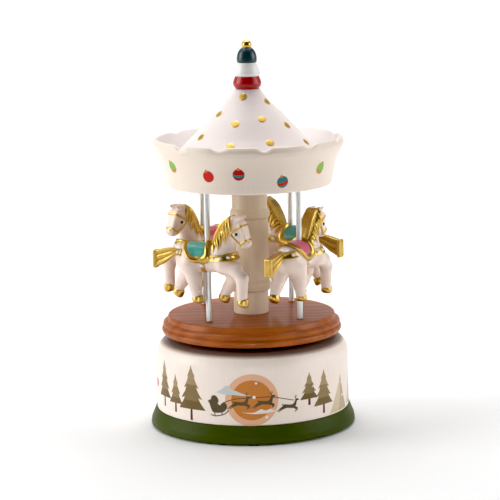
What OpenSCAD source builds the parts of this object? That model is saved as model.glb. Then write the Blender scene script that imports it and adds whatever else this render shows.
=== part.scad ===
// Carousel music box: a turned wooden drum holding an 18-note movement,
// whose winding arbor carries a turntable with four horses and a canopy.
// Millimetres, +Z up, origin at the centre of the underside.

/* [Base] */
// Radius of the green foot ring at the table
foot_r = 55; // [54.5:0.1:56]
// Radius of the drum wall
drum_r = 51.6; // [51.2:0.1:51.8]
// Height of the drum's top face
drum_top = 47.5; // [47.3:0.1:47.7]
// Radius of the rounded shoulder of the drum
drum_shoulder = 8.3; // [6:0.1:8.8]
// Thickness of the felt pads under the foot
pad_h = 0.6; // [0.6:0.1:0.6]

/* [Turntable] */
// Underside of the wooden turntable
table_z = 49.8; // [49.7:0.1:49.9]
// Top face of the wooden turntable
table_top = 60.3; // [60:0.1:60.6]
// Radius of the circle that the poles stand on
pole_circle = 34; // [33.5:0.1:34.5]
// Radius of a pole
pole_r = 1.5; // [1.3:0.05:1.55]
// Turn of the first pole from the diagonal, in degrees
pole_phase = 4.1; // [0:0.1:8]

/* [Canopy] */
// Underside of the canopy
canopy_z = 130; // [129.5:0.1:130.5]
// Number of notches round the canopy's rim
notches = 12; // [8:1:16]
// Depth of a rim notch
notch_d = 1.6; // [0.5:0.1:2.2]

/* [Movement] */
// Teeth of the crown gear on the winding arbor
crown_teeth = 40; // [40:1:40]
// Teeth of the pinion on the pinned cylinder
pinion_teeth = 12; // [12:1:12]
// Teeth of the cylinder's wheel
wheel_teeth = 40; // [40:1:40]
// Teeth of the idler's pinion
idler_teeth = 10; // [10:1:10]
// Teeth of the worm wheel
worm_wheel_teeth = 24; // [24:1:24]
// Notes in the comb
notes = 18; // [18:1:18]

/* [Hidden] */
$fn = 96;

cream = "antiquewhite";
brass = "goldenrod";
steel = "silver";

plate_z = 38;                 // underside of the bedplate
plate_t = 2.5;
axis_z = plate_z - 7.7;       // height of the cylinder's axis
m1 = 0.6;                     // module of the crown gear and its pinion
m2 = 0.35;                    // module of the cylinder wheel and idler pinion
m3 = 0.4;                     // module of the worm wheel
crown_r = m1 * crown_teeth / 2;
pinion_r = m1 * pinion_teeth / 2;
idler_dir = 200;              // direction from the cylinder to the idler, in the YZ plane
idler_d = m2 * (wheel_teeth + idler_teeth) / 2;
idler_y = idler_d * cos(idler_dir);
idler_z = axis_z + idler_d * sin(idler_dir);
worm_pitch_r = 1.6;
worm_y = idler_y - m3 * worm_wheel_teeth / 2 - worm_pitch_r;
worm_x = 36.2;
cyl_x0 = 15.3;
cyl_len = 16;
cyl_r = 6.5;
note_pitch = 0.88;
// Bearing of each pole and turn of each horse from the tangent
pole_a = [for (k = [0:3]) -135 + 90 * k + pole_phase];
horse_yaw = [14, 9, 8.4, -4.6];

// An involute gear outline: addendum and dedendum in modules, th is the tooth's share of half a pitch
function involute(t) = t - atan(t) * PI / 180;
function flank(rb, r) = r <= rb ? 0 : involute(sqrt(pow(r / rb, 2) - 1)) * 180 / PI;
function polar(r, a) = [r * cos(a), r * sin(a)];
module gear2d(n, m, ad = 0.9, dd = 1.2, th = 0.82, phase = 0) {
  rp = n * m / 2; rb = rp * cos(20); ra = rp + ad * m; rf = rp - dd * m;
  half = 90 / n * th + (tan(20) * 180 / PI - 20);
  rs = max(rf + 0.02, rb);
  radii = [rf, rs, rs + (ra - rs) * 0.35, rs + (ra - rs) * 0.7, ra];
  polygon([for (k = [0:n - 1]) let (c = phase + 360 * k / n)
    each concat([for (r = radii) polar(r, c - half + flank(rb, r))],
                [for (i = [4:-1:0]) polar(radii[i], c + half - flank(rb, radii[i]))])]);
}
// Puts a shape drawn in XY onto the YZ plane at x, facing +X
module along_x(x, y, z) translate([x, y, z]) rotate([90, 0, 90]) children();
module rod_x(x0, x1, r, y = 0, z = axis_z) along_x(x0, y, z) cylinder(r = r, h = x1 - x0, $fn = 48);
module at(a, r, z) rotate([0, 0, a]) translate([r, 0, z]) children();
module countersunk(r, head_r, h) {   // a countersunk screw pointing up, head down at z 0
  cylinder(r1 = head_r, r2 = r, h = head_r - r, $fn = 48);
  cylinder(r = r, h = h, $fn = 48);
}
module panhead(r, head_r, head_h, h) {   // a pan head screw pointing up, head below z 0
  difference() {
    translate([0, 0, -head_h]) cylinder(r = head_r, h = head_h, $fn = 48);
    translate([-head_r, -0.2, -head_h - 0.1]) cube([2 * head_r, 0.4, 0.5]);
  }
  translate([0, 0, -0.05]) cylinder(r = r, h = h + 0.05, $fn = 48);
}

// ---- base ----
cover_screw_a = [45, 135, 225, 315];
module foot_ring() color("darkolivegreen") difference() {
  rotate_extrude($fn = 128) polygon([[40, 4], [46.6, 4], [46.6, pad_h], [54.2, pad_h], [54.8, 0.95],
    [foot_r, 1.7], [foot_r - 0.1, 3], [foot_r - 0.7, 5], [foot_r - 1.6, 7], [foot_r - 2.5, 9],
    [foot_r - 2.8, 9.7], [foot_r - 3.2, 10], [48.1, 10], [48.1, 7], [40, 7]]);
  for (a = cover_screw_a) at(a, 43.4, 3.5) cylinder(r = 1.2, h = 3, $fn = 48);
}
module base_drum() color(cream) difference() {
  rotate_extrude($fn = 128) polygon(concat([[4, 40.5], [44, 40.5], [44, 7.1], [48, 7.1], [48, 10.05], [drum_r - 0.3, 10.05], [drum_r, 10.35]],
    [for (a = [0:10:90]) [drum_r - drum_shoulder + drum_shoulder * cos(a), drum_top - drum_shoulder + drum_shoulder * sin(a)]],
    [[4, drum_top]]));
  for (p = bed_screw_xy) translate([p[0], p[1], 40]) cylinder(r = 1.15, h = 5.6, $fn = 48);
}
module bottom_cover() color("burlywood") difference() {
  translate([0, 0, 1.2]) cylinder(r = 46.4, h = 2.75, $fn = 128);
  for (a = cover_screw_a) at(a, 43.4, 1.2) {
    translate([0, 0, -0.01]) cylinder(r = 1.25, h = 4, $fn = 48);
    translate([0, 0, -0.01]) cylinder(r1 = 2.7, r2 = 1.25, h = 1.45, $fn = 48);
  }
  translate([0, 0, 0]) cylinder(r = 2.5, h = 5, $fn = 48);
  for (a = [0:60:300]) at(a, 10, 0) cylinder(r = 2.5, h = 5, $fn = 48);
}
module cover_screws() color(steel) for (a = cover_screw_a) at(a, 43.4, 1.25) difference() {
  countersunk(1.2, 2.6, 5);
  for (q = [0, 90]) rotate([0, 0, q]) translate([-1.4, -0.25, -0.1]) cube([2.8, 0.5, 0.75]);
}
module felt_pads() color("darkslategray") for (a = [0, 90, 180, 270]) at(a, 50.4, 0) cylinder(r = 3.5, h = pad_h, $fn = 64);

// ---- movement ----
bed_screw_xy = [[-17, -10], [-17, 12], [24, -14.5]];
post_xy = [[8, 13.86], [-8, 13.86], [-8, -13.86], [8, -13.86]];
module movement_bedplate() color(steel) difference() {
  union() {
    translate([0, 0, plate_z]) linear_extrude(plate_t) intersection() {
      translate([-21, -19.5]) square([61, 48.5]);
      circle(r = 42.4);
    }
    // heel that the comb is screwed to
    translate([15.3, 21.2, axis_z + 0.47]) cube([16, 6.8, plate_z - axis_z - 0.45 + 0.1]);
    for (p = post_xy) translate([p[0], p[1], 25.35]) cylinder(r = 1.6, h = plate_z - 25.35 + 0.1, $fn = 48);
  }
  translate([0, 0, plate_z - 1]) cylinder(r = 2.1, h = 5, $fn = 64);
  for (p = bed_screw_xy) translate([p[0], p[1], plate_z - 1]) cylinder(r = 1.3, h = 5, $fn = 48);
  for (x = [18.5, 28.1]) translate([x, 24.9, axis_z]) cylinder(r = 0.9, h = 5, $fn = 48);
  for (p = post_xy) translate([p[0], p[1], 25]) cylinder(r = 0.8, h = 4, $fn = 48);
  translate([worm_x, worm_y, plate_z - 1]) cylinder(r = 0.65, h = 2.2, $fn = 48);
}
module bedplate_screws() color(steel) for (p = bed_screw_xy) translate([p[0], p[1], plate_z]) panhead(1.1, 2.4, 1.5, 7.2);
module spring_housing() color(brass) difference() {
  union() {
    translate([0, 0, 15.1]) cylinder(r = 13.5, h = 10.2);
    for (p = post_xy) housing_lug(p);
  }
  translate([0, 0, 15]) cylinder(r = 12.8, h = 9.3);
  translate([0, 0, 15]) cylinder(r = 2.1, h = 12, $fn = 64);
  for (p = post_xy) translate([p[0], p[1], 20]) cylinder(r = 0.85, h = 8, $fn = 48);
}
module housing_lug(p) difference() {
  translate([p[0], p[1], 24.3]) cylinder(r = 3.2, h = 1, $fn = 48);
  translate([0, 0, 24]) cylinder(r = 13, h = 2);
}
module spring_housing_cap() color(brass) difference() {
  union() { translate([0, 0, 14.3]) cylinder(r = 13.5, h = 0.78); translate([0, 0, 13.3]) cylinder(r = 3.6, h = 1.2, $fn = 64); }
  translate([0, 0, 13]) cylinder(r = 2.1, h = 4, $fn = 64);
}
module housing_nuts() color(steel) for (p = post_xy) translate([p[0], p[1], 0]) {
  translate([0, 0, 22.7]) cylinder(r = 1.7, h = 1.6, $fn = 6);
  translate([0, 0, 24.2]) cylinder(r = 0.75, h = 4.6, $fn = 48);
}
spring_steps = 18;
spring_turns = 8;
module mainspring() color("slategray") translate([0, 0, 15.7]) linear_extrude(8)
  polygon(concat([for (i = [0:spring_turns * spring_steps]) polar(3 + 9.2 * i / (spring_turns * spring_steps), 360 * i / spring_steps)],
    [for (i = [spring_turns * spring_steps:-1:0]) polar(3.4 + 9.2 * i / (spring_turns * spring_steps), 360 * i / spring_steps)]));
module winding_arbor() color(steel) {
  translate([0, 0, 12.6]) cylinder(r = 2, h = 45.2, $fn = 64);
  // hook that holds the mainspring's inner end
  translate([1.7, -0.5, 17.5]) cube([1.2, 1, 4]);
}
module drive_gear() color(brass) difference() {
  union() {
    translate([0, 0, axis_z + pinion_r + 0.75]) cylinder(r = crown_r + 1.1, h = 1.5);
    translate([0, 0, axis_z + 1.4]) cylinder(r = 3.4, h = 3.2, $fn = 64);
    // crown teeth, pointing down
    for (k = [0:crown_teeth - 1]) rotate([0, 0, 360 * k / crown_teeth]) along_x(crown_r - 1, 0, axis_z + pinion_r)
      linear_extrude(2) polygon([[-0.62, 0.8], [-0.38, 0], [-0.2, -0.45], [0.2, -0.45], [0.38, 0], [0.62, 0.8]]);
  }
  translate([0, 0, axis_z]) cylinder(r = 2.03, h = 12, $fn = 64);
}
module clutch_spring() color("gray") for (z = [0:1:2]) translate([0, 0, axis_z + 1.95 + z * 0.72]) rotate_extrude($fn = 64) translate([3.75, 0]) circle(r = 0.3, $fn = 24);
module arbor_bush() color(brass) difference() {
  union() { translate([0, 0, 40.6]) cylinder(r = 3.97, h = 6.9, $fn = 64); translate([0, 0, drum_top]) cylinder(r = 5.5, h = 0.35, $fn = 64); }
  translate([0, 0, 40]) cylinder(r = 2.04, h = 9, $fn = 64);
}
module thrust_washer() color("ivory") difference() {
  translate([0, 0, 47.87]) cylinder(r = 7.5, h = 0.55, $fn = 64);
  translate([0, 0, 47]) cylinder(r = 2.15, h = 2, $fn = 64);
}
hub_a = [30, 150, 270];
module hub_flange() color(steel) difference() {
  union() { translate([0, 0, 48.45]) cylinder(r = 11, h = 1.33, $fn = 96); translate([0, 0, 49.7]) cylinder(r = 3.9, h = 8.2, $fn = 64); }
  translate([0, 0, 48]) cylinder(r = 2.02, h = 10.2, $fn = 64);
  for (a = hub_a) at(a, 7.8, 48) { cylinder(r = 1.1, h = 3, $fn = 48); cylinder(r = 1.95, h = 1.05, $fn = 48); }
}
module hub_screws() color(steel) for (a = hub_a) at(a, 7.8, 48.5) difference() {
  union() { cylinder(r = 1.9, h = 0.5, $fn = 48); translate([0, 0, 0.3]) cylinder(r = 1.05, h = 7, $fn = 48); }
  translate([-2, -0.2, -0.1]) cube([4, 0.4, 0.3]);
}
module cylinder_body() difference() {
  rod_x(cyl_x0, cyl_x0 + cyl_len, cyl_r);
  rod_x(cyl_x0 - 1, cyl_x0 + cyl_len + 1, 1.0);
}
module cylinder_node() color(brass) {
  cylinder_body();
  for (i = [0:notes - 1], j = [0:2]) let (a = (i * 137 + j * 113 + i * j * 17) % 360)
    translate([cyl_x0 + 0.52 + i * note_pitch, 0, axis_z]) rotate([a, 0, 0]) translate([0, 0, cyl_r - 0.2]) cylinder(r = 0.2, h = 0.62, $fn = 16);
}
module cylinder_arbor() color(steel) rod_x(10.5, 35.2, 1.0);
module cylinder_pinion() color(brass) difference() {
  along_x(crown_r - 1, 0, axis_z) linear_extrude(2) gear2d(pinion_teeth, m1, 0.8, 1.25, 0.8, 90 + 15);
  rod_x(10, 14, 1.0);
}
module cylinder_wheel() color(brass) difference() {
  along_x(31.8, 0, axis_z) linear_extrude(1.2) gear2d(wheel_teeth, m2, 0.8, 1.25, 0.8, idler_dir);
  rod_x(31, 34, 1.0);
}
module bracket(x, y0, y1, z0, holes) difference() {
  translate([x, y0, z0]) cube([1.2, y1 - y0, plate_z - z0]);
  for (h = holes) rod_x(x - 1, x + 3, h[2], h[0], h[1]);
}
module cylinder_bracket_inner() color(steel) bracket(13.65, -3, 3, axis_z - 3, [[0, axis_z, 1.05]]);
module cylinder_bracket_outer() color(steel) bracket(33.6, -11, 3.5, axis_z - 6, [[0, axis_z, 1.05], [idler_y, idler_z, 0.85]]);
tine_y = cyl_r + 0.42 + 0.25;
module comb() color(steel) difference() {
  translate([0, 0, axis_z - 0.45]) linear_extrude(0.9) polygon(concat([[31.3, 28], [15.3, 28], [15.3, 21]],
    [for (i = [0:notes - 1]) let (x = cyl_x0 + 0.52 + i * note_pitch, root = 20.6 - 4.2 * i / notes)
      each [[x - 0.31, root], [x - 0.31, tine_y], [x + 0.31, tine_y], [x + 0.31, root]]], [[31.3, 16]]));
  for (x = [18.5, 28.1]) translate([x, 24.9, axis_z - 2]) cylinder(r = 1.0, h = 5, $fn = 48);
}
module comb_screws() color(steel) for (x = [18.5, 28.1]) translate([x, 24.9, axis_z - 0.45]) panhead(0.85, 1.7, 1.1, 4.6);
module idler_arbor() color(steel) rod_x(31.6, 39.2, 0.8, idler_y, idler_z);
module idler_pinion() color(brass) difference() {
  along_x(31.7, idler_y, idler_z) linear_extrude(1.4) gear2d(idler_teeth, m2, 0.8, 1.25, 0.8, idler_dir - 180 + 18);
  rod_x(31, 34, 0.8, idler_y, idler_z);
}
module worm_wheel() color("white") difference() {
  along_x(worm_x - 0.45, idler_y, idler_z) linear_extrude(0.9) gear2d(worm_wheel_teeth, m3, 0.7, 1.1, 0.66, 180);
  rod_x(31, 39, 0.8, idler_y, idler_z);
}
module governor_shaft() color(steel) translate([worm_x, worm_y, 12.2]) cylinder(r = 0.6, h = plate_z + 1 - 12.2, $fn = 32);
// right-handed single-start worm: a threaded sleeve wound as one closed helical strip
worm_n = 16;
worm_lead = PI * m3;
worm_turns = 7;
module worm_thread() {
  root = worm_lead / 2 - 0.02;
  prof = [[0.63, -root], [1.05, -root], [1.05, -0.43], [1.95, -0.12], [1.95, 0.12], [1.05, 0.43], [1.05, root], [0.63, root]];
  np = len(prof);
  last = worm_n * worm_turns;
  pts = [for (i = [0:last], q = prof) let (a = 90 + 360 * i / worm_n)
    [q[0] * cos(a), q[0] * sin(a), (i / worm_n - worm_turns / 2) * worm_lead + q[1]]];
  faces = concat([[for (k = [0:np - 1]) k]], [for (i = [0:last - 1], k = [0:np - 1]) let (a = np * i + k, b = np * i + (k + 1) % np)
    each [[a, a + np, b + np], [a, b + np, b]]], [[for (k = [np - 1:-1:0]) np * last + k]]);
  polyhedron(points = pts, faces = faces, convexity = 8);
}
module governor_worm() color("white") translate([worm_x, worm_y, idler_z]) worm_thread();
module governor_fly() color("white") translate([worm_x, worm_y, 15]) difference() {
  union() {
    cylinder(r = 1.5, h = 4, $fn = 48);
    translate([-3.9, -0.3, 0.2]) cube([7.8, 0.6, 3.6]);
    for (s = [0, 180]) rotate([0, 0, s]) translate([3.2, 0, 0.2]) cube([0.7, 0.9, 3.6]);
  }
  translate([0, 0, -1]) cylinder(r = 0.62, h = 8, $fn = 32);
}
module governor_bracket() color(steel) difference() {
  union() {
    translate([28.4, -19.3, 12.5]) cube([3, 3.1, 25.45]);
    // lower bearing arm
    translate([28.4, -19.3, 12.5]) cube([6, 3.1, 1.4]);
    translate([32, -18.2, 12.5]) cube([6, 5.4, 1.4]);
    // flange under the bedplate, with the bearing plate for the idler's outer end
    translate([28.4, -19.3, 36.75]) cube([8.6, 6.6, 1.2]);
    translate([35.3, -16, 36.75]) cube([3.75, 10.4, 1.2]);
    translate([38.05, -10.8, idler_z - 2.5]) cube([1, 5.2, 37.95 - idler_z + 2.5]);
  }
  translate([worm_x, worm_y, 10]) cylinder(r = 0.65, h = 30, $fn = 48);
  rod_x(37, 40, 0.85, idler_y, idler_z);
}

// ---- turntable ----
module turntable() color("peru") difference() {
  rotate_extrude($fn = 128) polygon([[3.95, table_z], [45.4, table_z], [46.9, table_z + 0.35], [47.8, table_z + 1.1], [48.25, 52.2], [48.15, 52.9],
    [47.6, 53.6], [47.0, 53.9], [46.9, 54.1], [47.3, 54.6], [47.4, 55.5], [46.9, 56.5], [45.8, 57.1], [45.2, 57.3], [45.0, 57.6], [44.95, 58.6],
    [44.7, 59.5], [44.1, 60.1], [43.6, table_top], [3.95, table_top]]);
  for (a = pole_a) at(a, pole_circle, table_z + 3) cylinder(r = pole_r + 0.02, h = 10, $fn = 64);
  for (a = hub_a) at(a, 7.8, 49) cylinder(r = 1.1, h = 7.2, $fn = 48);
}
module column() color(cream) difference() {
  rotate_extrude() polygon([[0, 60.35], [9.35, 60.35], [9.3, 60.8], [9.2, 72.3], [9.9, 72.5], [10.5, 73.2], [10.9, 74.3], [11.0, 75.6], [10.8, 77], [10.3, 78.1], [9.85, 78.8], [9.76, 79.8],
    [9.7, 111.2], [10.2, 111.5], [10.6, 112.4], [10.7, 113.8], [10.5, 115.2], [10.05, 116.1], [9.55, 116.9], [9.45, 117.6], [9.45, 129.95], [0, 129.95]]);
  translate([0, 0, 60]) cylinder(r = 3.05, h = 6.2, $fn = 64);
  translate([0, 0, 120]) cylinder(r = 3.05, h = 12, $fn = 64);
}
module column_dowel() color("burlywood") { translate([0, 0, 60.33]) cylinder(r = 3.0, h = 5.7, $fn = 64); translate([0, 0, 58]) cylinder(r = 3.9, h = 2.33, $fn = 64); }
module canopy_dowel() color("burlywood") translate([0, 0, 121]) cylinder(r = 3.0, h = 35, $fn = 64);
module canopy_bowl() color(cream) difference() {
  rotate_extrude($fn = 128) polygon([[3.05, canopy_z], [43.8, canopy_z], [44.4, 130.5], [44.75, 134], [45.4, 138], [46.2, 141.2], [47.4, 144.8], [48.7, 147.4], [49.9, 149.3], [50.6, 150.9],
    [50.8, 152.3], [50.5, 153.7], [49.9, 154.7], [49.1, 155.2], [48.4, 154.7], [47.4, 152], [46.0, 149.2], [44.3, 146.6], [42.6, 144.6], [42.0, 143.9], [40, 142.6], [40, 134], [3.05, 134]]);
  for (a = pole_a) at(a, pole_circle, canopy_z - 1) cylinder(r = pole_r + 0.02, h = 4, $fn = 64);
  for (k = [0:notches - 1]) rotate([0, 0, 9.7 + 360 * k / notches]) translate([40, 0, 156.6]) rotate([0, 90, 0]) cylinder(r = notch_d + 1.2, h = 14, $fn = 48);
}
module canopy_cone() color(cream) difference() {
  rotate_extrude($fn = 128) polygon([[0, 142.75], [39.9, 142.75], [41.7, 143.95], [41.6, 144.5], [37.9, 147.6], [33.6, 151.6], [29.0, 156.1], [24.4, 161.0], [20.2, 165.4], [16.2, 169.3],
    [12.4, 173.2], [9.4, 176.6], [7.3, 179.4], [6.4, 180.6], [0, 180.6]]);
  translate([0, 0, 142]) cylinder(r = 30, h = 6, $fn = 96);
  translate([0, 0, 147]) cylinder(r = 3.05, h = 9.2, $fn = 64);
  translate([0, 0, 172]) cylinder(r = 1.28, h = 10, $fn = 48);
}
module finial_dowel() color("burlywood") translate([0, 0, 172.2]) cylinder(r = 1.25, h = 27, $fn = 48);
module bead(p, bore = 1.28) difference() { rotate_extrude() polygon(concat([[0.6, p[0][1]]], p, [[0.6, p[len(p) - 1][1]]])); translate([0, 0, p[0][1] - 1]) cylinder(r = bore, h = 30, $fn = 48); }
module finial_base() color("firebrick") bead([[5.6, 180.65], [6.6, 181.2], [7.3, 182.3], [7.45, 183.4], [7.25, 184.6], [6.8, 185.7], [6.45, 186.5], [6.3, 187.2]]);
module finial_bell() color("white") bead([[6.3, 187.25], [6.8, 187.8], [6.95, 188.7], [6.85, 189.7], [6.45, 191], [5.9, 192.4], [5.4, 193.4], [5.2, 193.7], [5.25, 194.1], [5.1, 194.4]]);
module finial_cap() color("darkslategray") difference() {
  rotate_extrude() polygon([[0, 194.45], [5.0, 194.45], [5.25, 195], [5.3, 196.2], [5.15, 197.8], [4.85, 199.1], [4.3, 200.3], [3.5, 201.4], [2.7, 202], [2.35, 202.6], [0, 202.6]]);
  translate([0, 0, 194]) cylinder(r = 1.28, h = 5.3, $fn = 48);
  translate([0, 0, 203.6]) sphere(r = 2.67, $fn = 64);
  translate([0, 0, 199.7]) cylinder(r = 0.62, h = 4, $fn = 32);
}
module finial_ball() color("gold") { translate([0, 0, 203.6]) sphere(r = 2.65, $fn = 64); translate([0, 0, 199.8]) cylinder(r = 0.6, h = 2.5, $fn = 32); }

// ---- poles and horses ----
module pole(k) color("gainsboro") at(pole_a[k], pole_circle, table_z + 3) cylinder(r = pole_r, h = canopy_z + 2.95 - table_z - 3, $fn = 64);
// A capsule between two balls
module limb(a, b, ra, rb) hull() { translate(a) sphere(r = ra, $fn = 14); translate(b) sphere(r = rb, $fn = 14); }
module hoof(x, y, z) hull() {
  translate([x + 0.5, y, z]) resize([7, 5.6, 0.6]) cylinder(r = 3, h = 0.6, $fn = 16);
  translate([x, y, z + 4]) resize([5.4, 4.8, 0.5]) cylinder(r = 2.5, h = 0.5, $fn = 16);
}
// A horse facing +X with the pole's axis at the origin and heights as they stand
module horse_figure() {
  limb([-10.8, 0, 92.4], [-4, 0, 94], 6.3, 6.2);              // rump and barrel
  limb([-4, 0, 94], [9.8, 0, 94.2], 6.2, 6.2);
  limb([10.4, 0, 95.8], [14.6, 0, 111.5], 5.6, 3.9);          // neck
  limb([17.4, 0, 112.2], [21.8, 0, 104.6], 3.9, 2.8);         // head
  for (s = [-1, 1]) limb([16, s * 2.3, 115.4], [20.4, s * 2.6, 117], 1.7, 0.7);   // ears
  limb([13.6, -3.4, 91.6], [22.3, -3.7, 83.2], 4.2, 3.1);       // right foreleg, reaching
  limb([22.3, -3.7, 83.2], [22.1, -3.7, 74], 3.1, 2.5);
  hoof(22, -3.7, 70.6);
  limb([12, 3.4, 90], [9, 3.7, 76], 3.8, 2.5);               // left foreleg, under
  hoof(8.3, 3.7, 71.4);
  limb([-7, -3.4, 90], [-3.8, -3.7, 76], 4.4, 2.6);           // right hind leg, under
  hoof(-3.6, -3.7, 70.8);
  limb([-12, 3.2, 90], [-17.4, 3.7, 76.5], 4.4, 2.5);         // left hind leg, behind
  hoof(-18.3, 3.7, 71.9);
  hull() for (s = [-1, 1]) { translate([14.6, s * 2.2, 116.4]) sphere(r = 1.3, $fn = 10); translate([6.6, s * 3.2, 100.5]) sphere(r = 1.4, $fn = 10); }   // mane
  hull() { translate([-16, 0, 97]) sphere(r = 2, $fn = 12); translate([-30.6, -2.2, 88.6]) cube([1.6, 4.4, 8]); }   // tail
  hull() { translate([0, -5.2, 96.6]) sphere(r = 1.6, $fn = 10); translate([0, 5.2, 96.6]) sphere(r = 1.6, $fn = 10); translate([-7.6, 0, 99.6]) sphere(r = 1.6, $fn = 10); translate([4.6, 0, 101.2]) sphere(r = 1.8, $fn = 10); }   // saddle
}
module horse(k) color("linen") at(pole_a[k], pole_circle, 0) rotate([0, 0, 90 + horse_yaw[k]]) difference() {
  horse_figure();
  translate([0, 0, 60]) cylinder(r = pole_r + 0.06, h = 70, $fn = 24);
}

foot_ring();
base_drum();
bottom_cover();
cover_screws();
felt_pads();
movement_bedplate();
bedplate_screws();
spring_housing();
spring_housing_cap();
housing_nuts();
mainspring();
winding_arbor();
drive_gear();
clutch_spring();
arbor_bush();
thrust_washer();
hub_flange();
hub_screws();
cylinder_node();  // cylinder
cylinder_arbor();
cylinder_pinion();
cylinder_wheel();
cylinder_bracket_inner();
cylinder_bracket_outer();
comb();
comb_screws();
idler_arbor();
idler_pinion();
worm_wheel();
governor_shaft();
governor_worm();
governor_fly();
governor_bracket();
turntable();
column();
column_dowel();
canopy_dowel();
canopy_bowl();
canopy_cone();
finial_dowel();
finial_base();
finial_bell();
finial_cap();
finial_ball();
pole(0);  // pole_1
pole(1);  // pole_2
pole(2);  // pole_3
pole(3);  // pole_4
horse(0);  // horse_1
horse(1);  // horse_2
horse(2);  // horse_3
horse(3);  // horse_4
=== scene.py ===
import bpy, bmesh, math
import numpy as np
from mathutils import Vector, Matrix


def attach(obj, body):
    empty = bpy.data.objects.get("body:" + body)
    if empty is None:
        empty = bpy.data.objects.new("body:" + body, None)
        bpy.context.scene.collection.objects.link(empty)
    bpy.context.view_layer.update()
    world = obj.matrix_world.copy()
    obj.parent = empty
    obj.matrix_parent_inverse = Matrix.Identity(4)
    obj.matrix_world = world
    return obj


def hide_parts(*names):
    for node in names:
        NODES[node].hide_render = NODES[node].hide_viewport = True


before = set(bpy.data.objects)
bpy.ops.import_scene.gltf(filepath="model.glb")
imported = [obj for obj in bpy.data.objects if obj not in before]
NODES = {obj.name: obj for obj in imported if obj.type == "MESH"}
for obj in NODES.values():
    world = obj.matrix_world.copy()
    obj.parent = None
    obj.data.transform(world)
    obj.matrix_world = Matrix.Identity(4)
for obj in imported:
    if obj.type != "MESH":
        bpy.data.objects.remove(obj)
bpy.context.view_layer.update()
MM = 0.001
POLE_R = 34.0
POLE_A = [-135 + 90 * k + 4.1 for k in range(4)]
YAW = [14, 9, 8.4, -4.6]

# ------------------------------------------------------------------ materials


def srgb(r, g, b):
    f = lambda c: (c / 255 / 12.92) if c / 255 <= 0.04045 else ((c / 255 + 0.055) / 1.055) ** 2.4
    return (f(r), f(g), f(b), 1.0)


class Graph:
    def __init__(self, name):
        self.m = bpy.data.materials.new(name)
        self.m.use_nodes = True
        self.t = self.m.node_tree
        self.b = self.t.nodes["Principled BSDF"]
        self.tc = self.t.nodes.new("ShaderNodeTexCoord")

    def node(self, kind, **v):
        n = self.t.nodes.new(kind)
        for k, x in v.items():
            setattr(n, k, x)
        return n

    def link(self, a, b):
        self.t.links.new(a, b)

    def mapped(self, scale=(1, 1, 1), rot=(0, 0, 0)):
        mp = self.node("ShaderNodeMapping")
        mp.inputs["Scale"].default_value = scale
        mp.inputs["Rotation"].default_value = rot
        self.link(self.tc.outputs["Object"], mp.inputs["Vector"])
        return mp.outputs["Vector"]

    def noise(self, vec, scale, detail=4.0, rough=0.55, distort=0.0):
        n = self.node("ShaderNodeTexNoise")
        n.inputs["Scale"].default_value = scale
        n.inputs["Detail"].default_value = detail
        n.inputs["Roughness"].default_value = rough
        n.inputs["Distortion"].default_value = distort
        self.link(vec, n.inputs["Vector"])
        return n.outputs["Fac"]

    def ramp(self, fac, stops):
        r = self.node("ShaderNodeValToRGB")
        e = r.color_ramp.elements
        while len(e) < len(stops):
            e.new(0.5)
        for i, (p, c) in enumerate(stops):
            e[i].position = p
            e[i].color = c if len(c) == 4 else (*c, 1)
        self.link(fac, r.inputs["Fac"])
        return r.outputs["Color"]

    def maprange(self, fac, lo, hi, a=0.0, b=1.0):
        r = self.node("ShaderNodeMapRange")
        r.inputs["From Min"].default_value = a
        r.inputs["From Max"].default_value = b
        r.inputs["To Min"].default_value = lo
        r.inputs["To Max"].default_value = hi
        self.link(fac, r.inputs["Value"])
        return r.outputs["Result"]

    def mix(self, fac, a, b, mode="MIX"):
        n = self.node("ShaderNodeMix", data_type="RGBA", blend_type=mode)
        for s, v in ((n.inputs["Factor"], fac), (n.inputs["A"], a), (n.inputs["B"], b)):
            if isinstance(v, (float, int)):
                s.default_value = v
            elif isinstance(v, tuple):
                s.default_value = v
            else:
                self.link(v, s)
        return n.outputs["Result"]

    def math(self, op, a, b=0.0):
        n = self.node("ShaderNodeMath", operation=op)
        for s, v in ((n.inputs[0], a), (n.inputs[1], b)):
            if isinstance(v, (float, int)):
                s.default_value = v
            else:
                self.link(v, s)
        return n.outputs[0]

    def bump(self, height, strength, dist=0.0002, chain=None):
        n = self.node("ShaderNodeBump")
        n.inputs["Strength"].default_value = strength
        n.inputs["Distance"].default_value = dist
        self.link(height, n.inputs["Height"])
        if chain is not None:
            self.link(chain, n.inputs["Normal"])
        return n.outputs["Normal"]

    def out(self, color=None, rough=None, normal=None, **fixed):
        if color is not None:
            self.link(color, self.b.inputs["Base Color"])
        if rough is not None:
            if isinstance(rough, float):
                self.b.inputs["Roughness"].default_value = rough
            else:
                self.link(rough, self.b.inputs["Roughness"])
        if normal is not None:
            self.link(normal, self.b.inputs["Normal"])
        for k, v in fixed.items():
            self.b.inputs[k.replace("_", " ")].default_value = v
        return self.m


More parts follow.
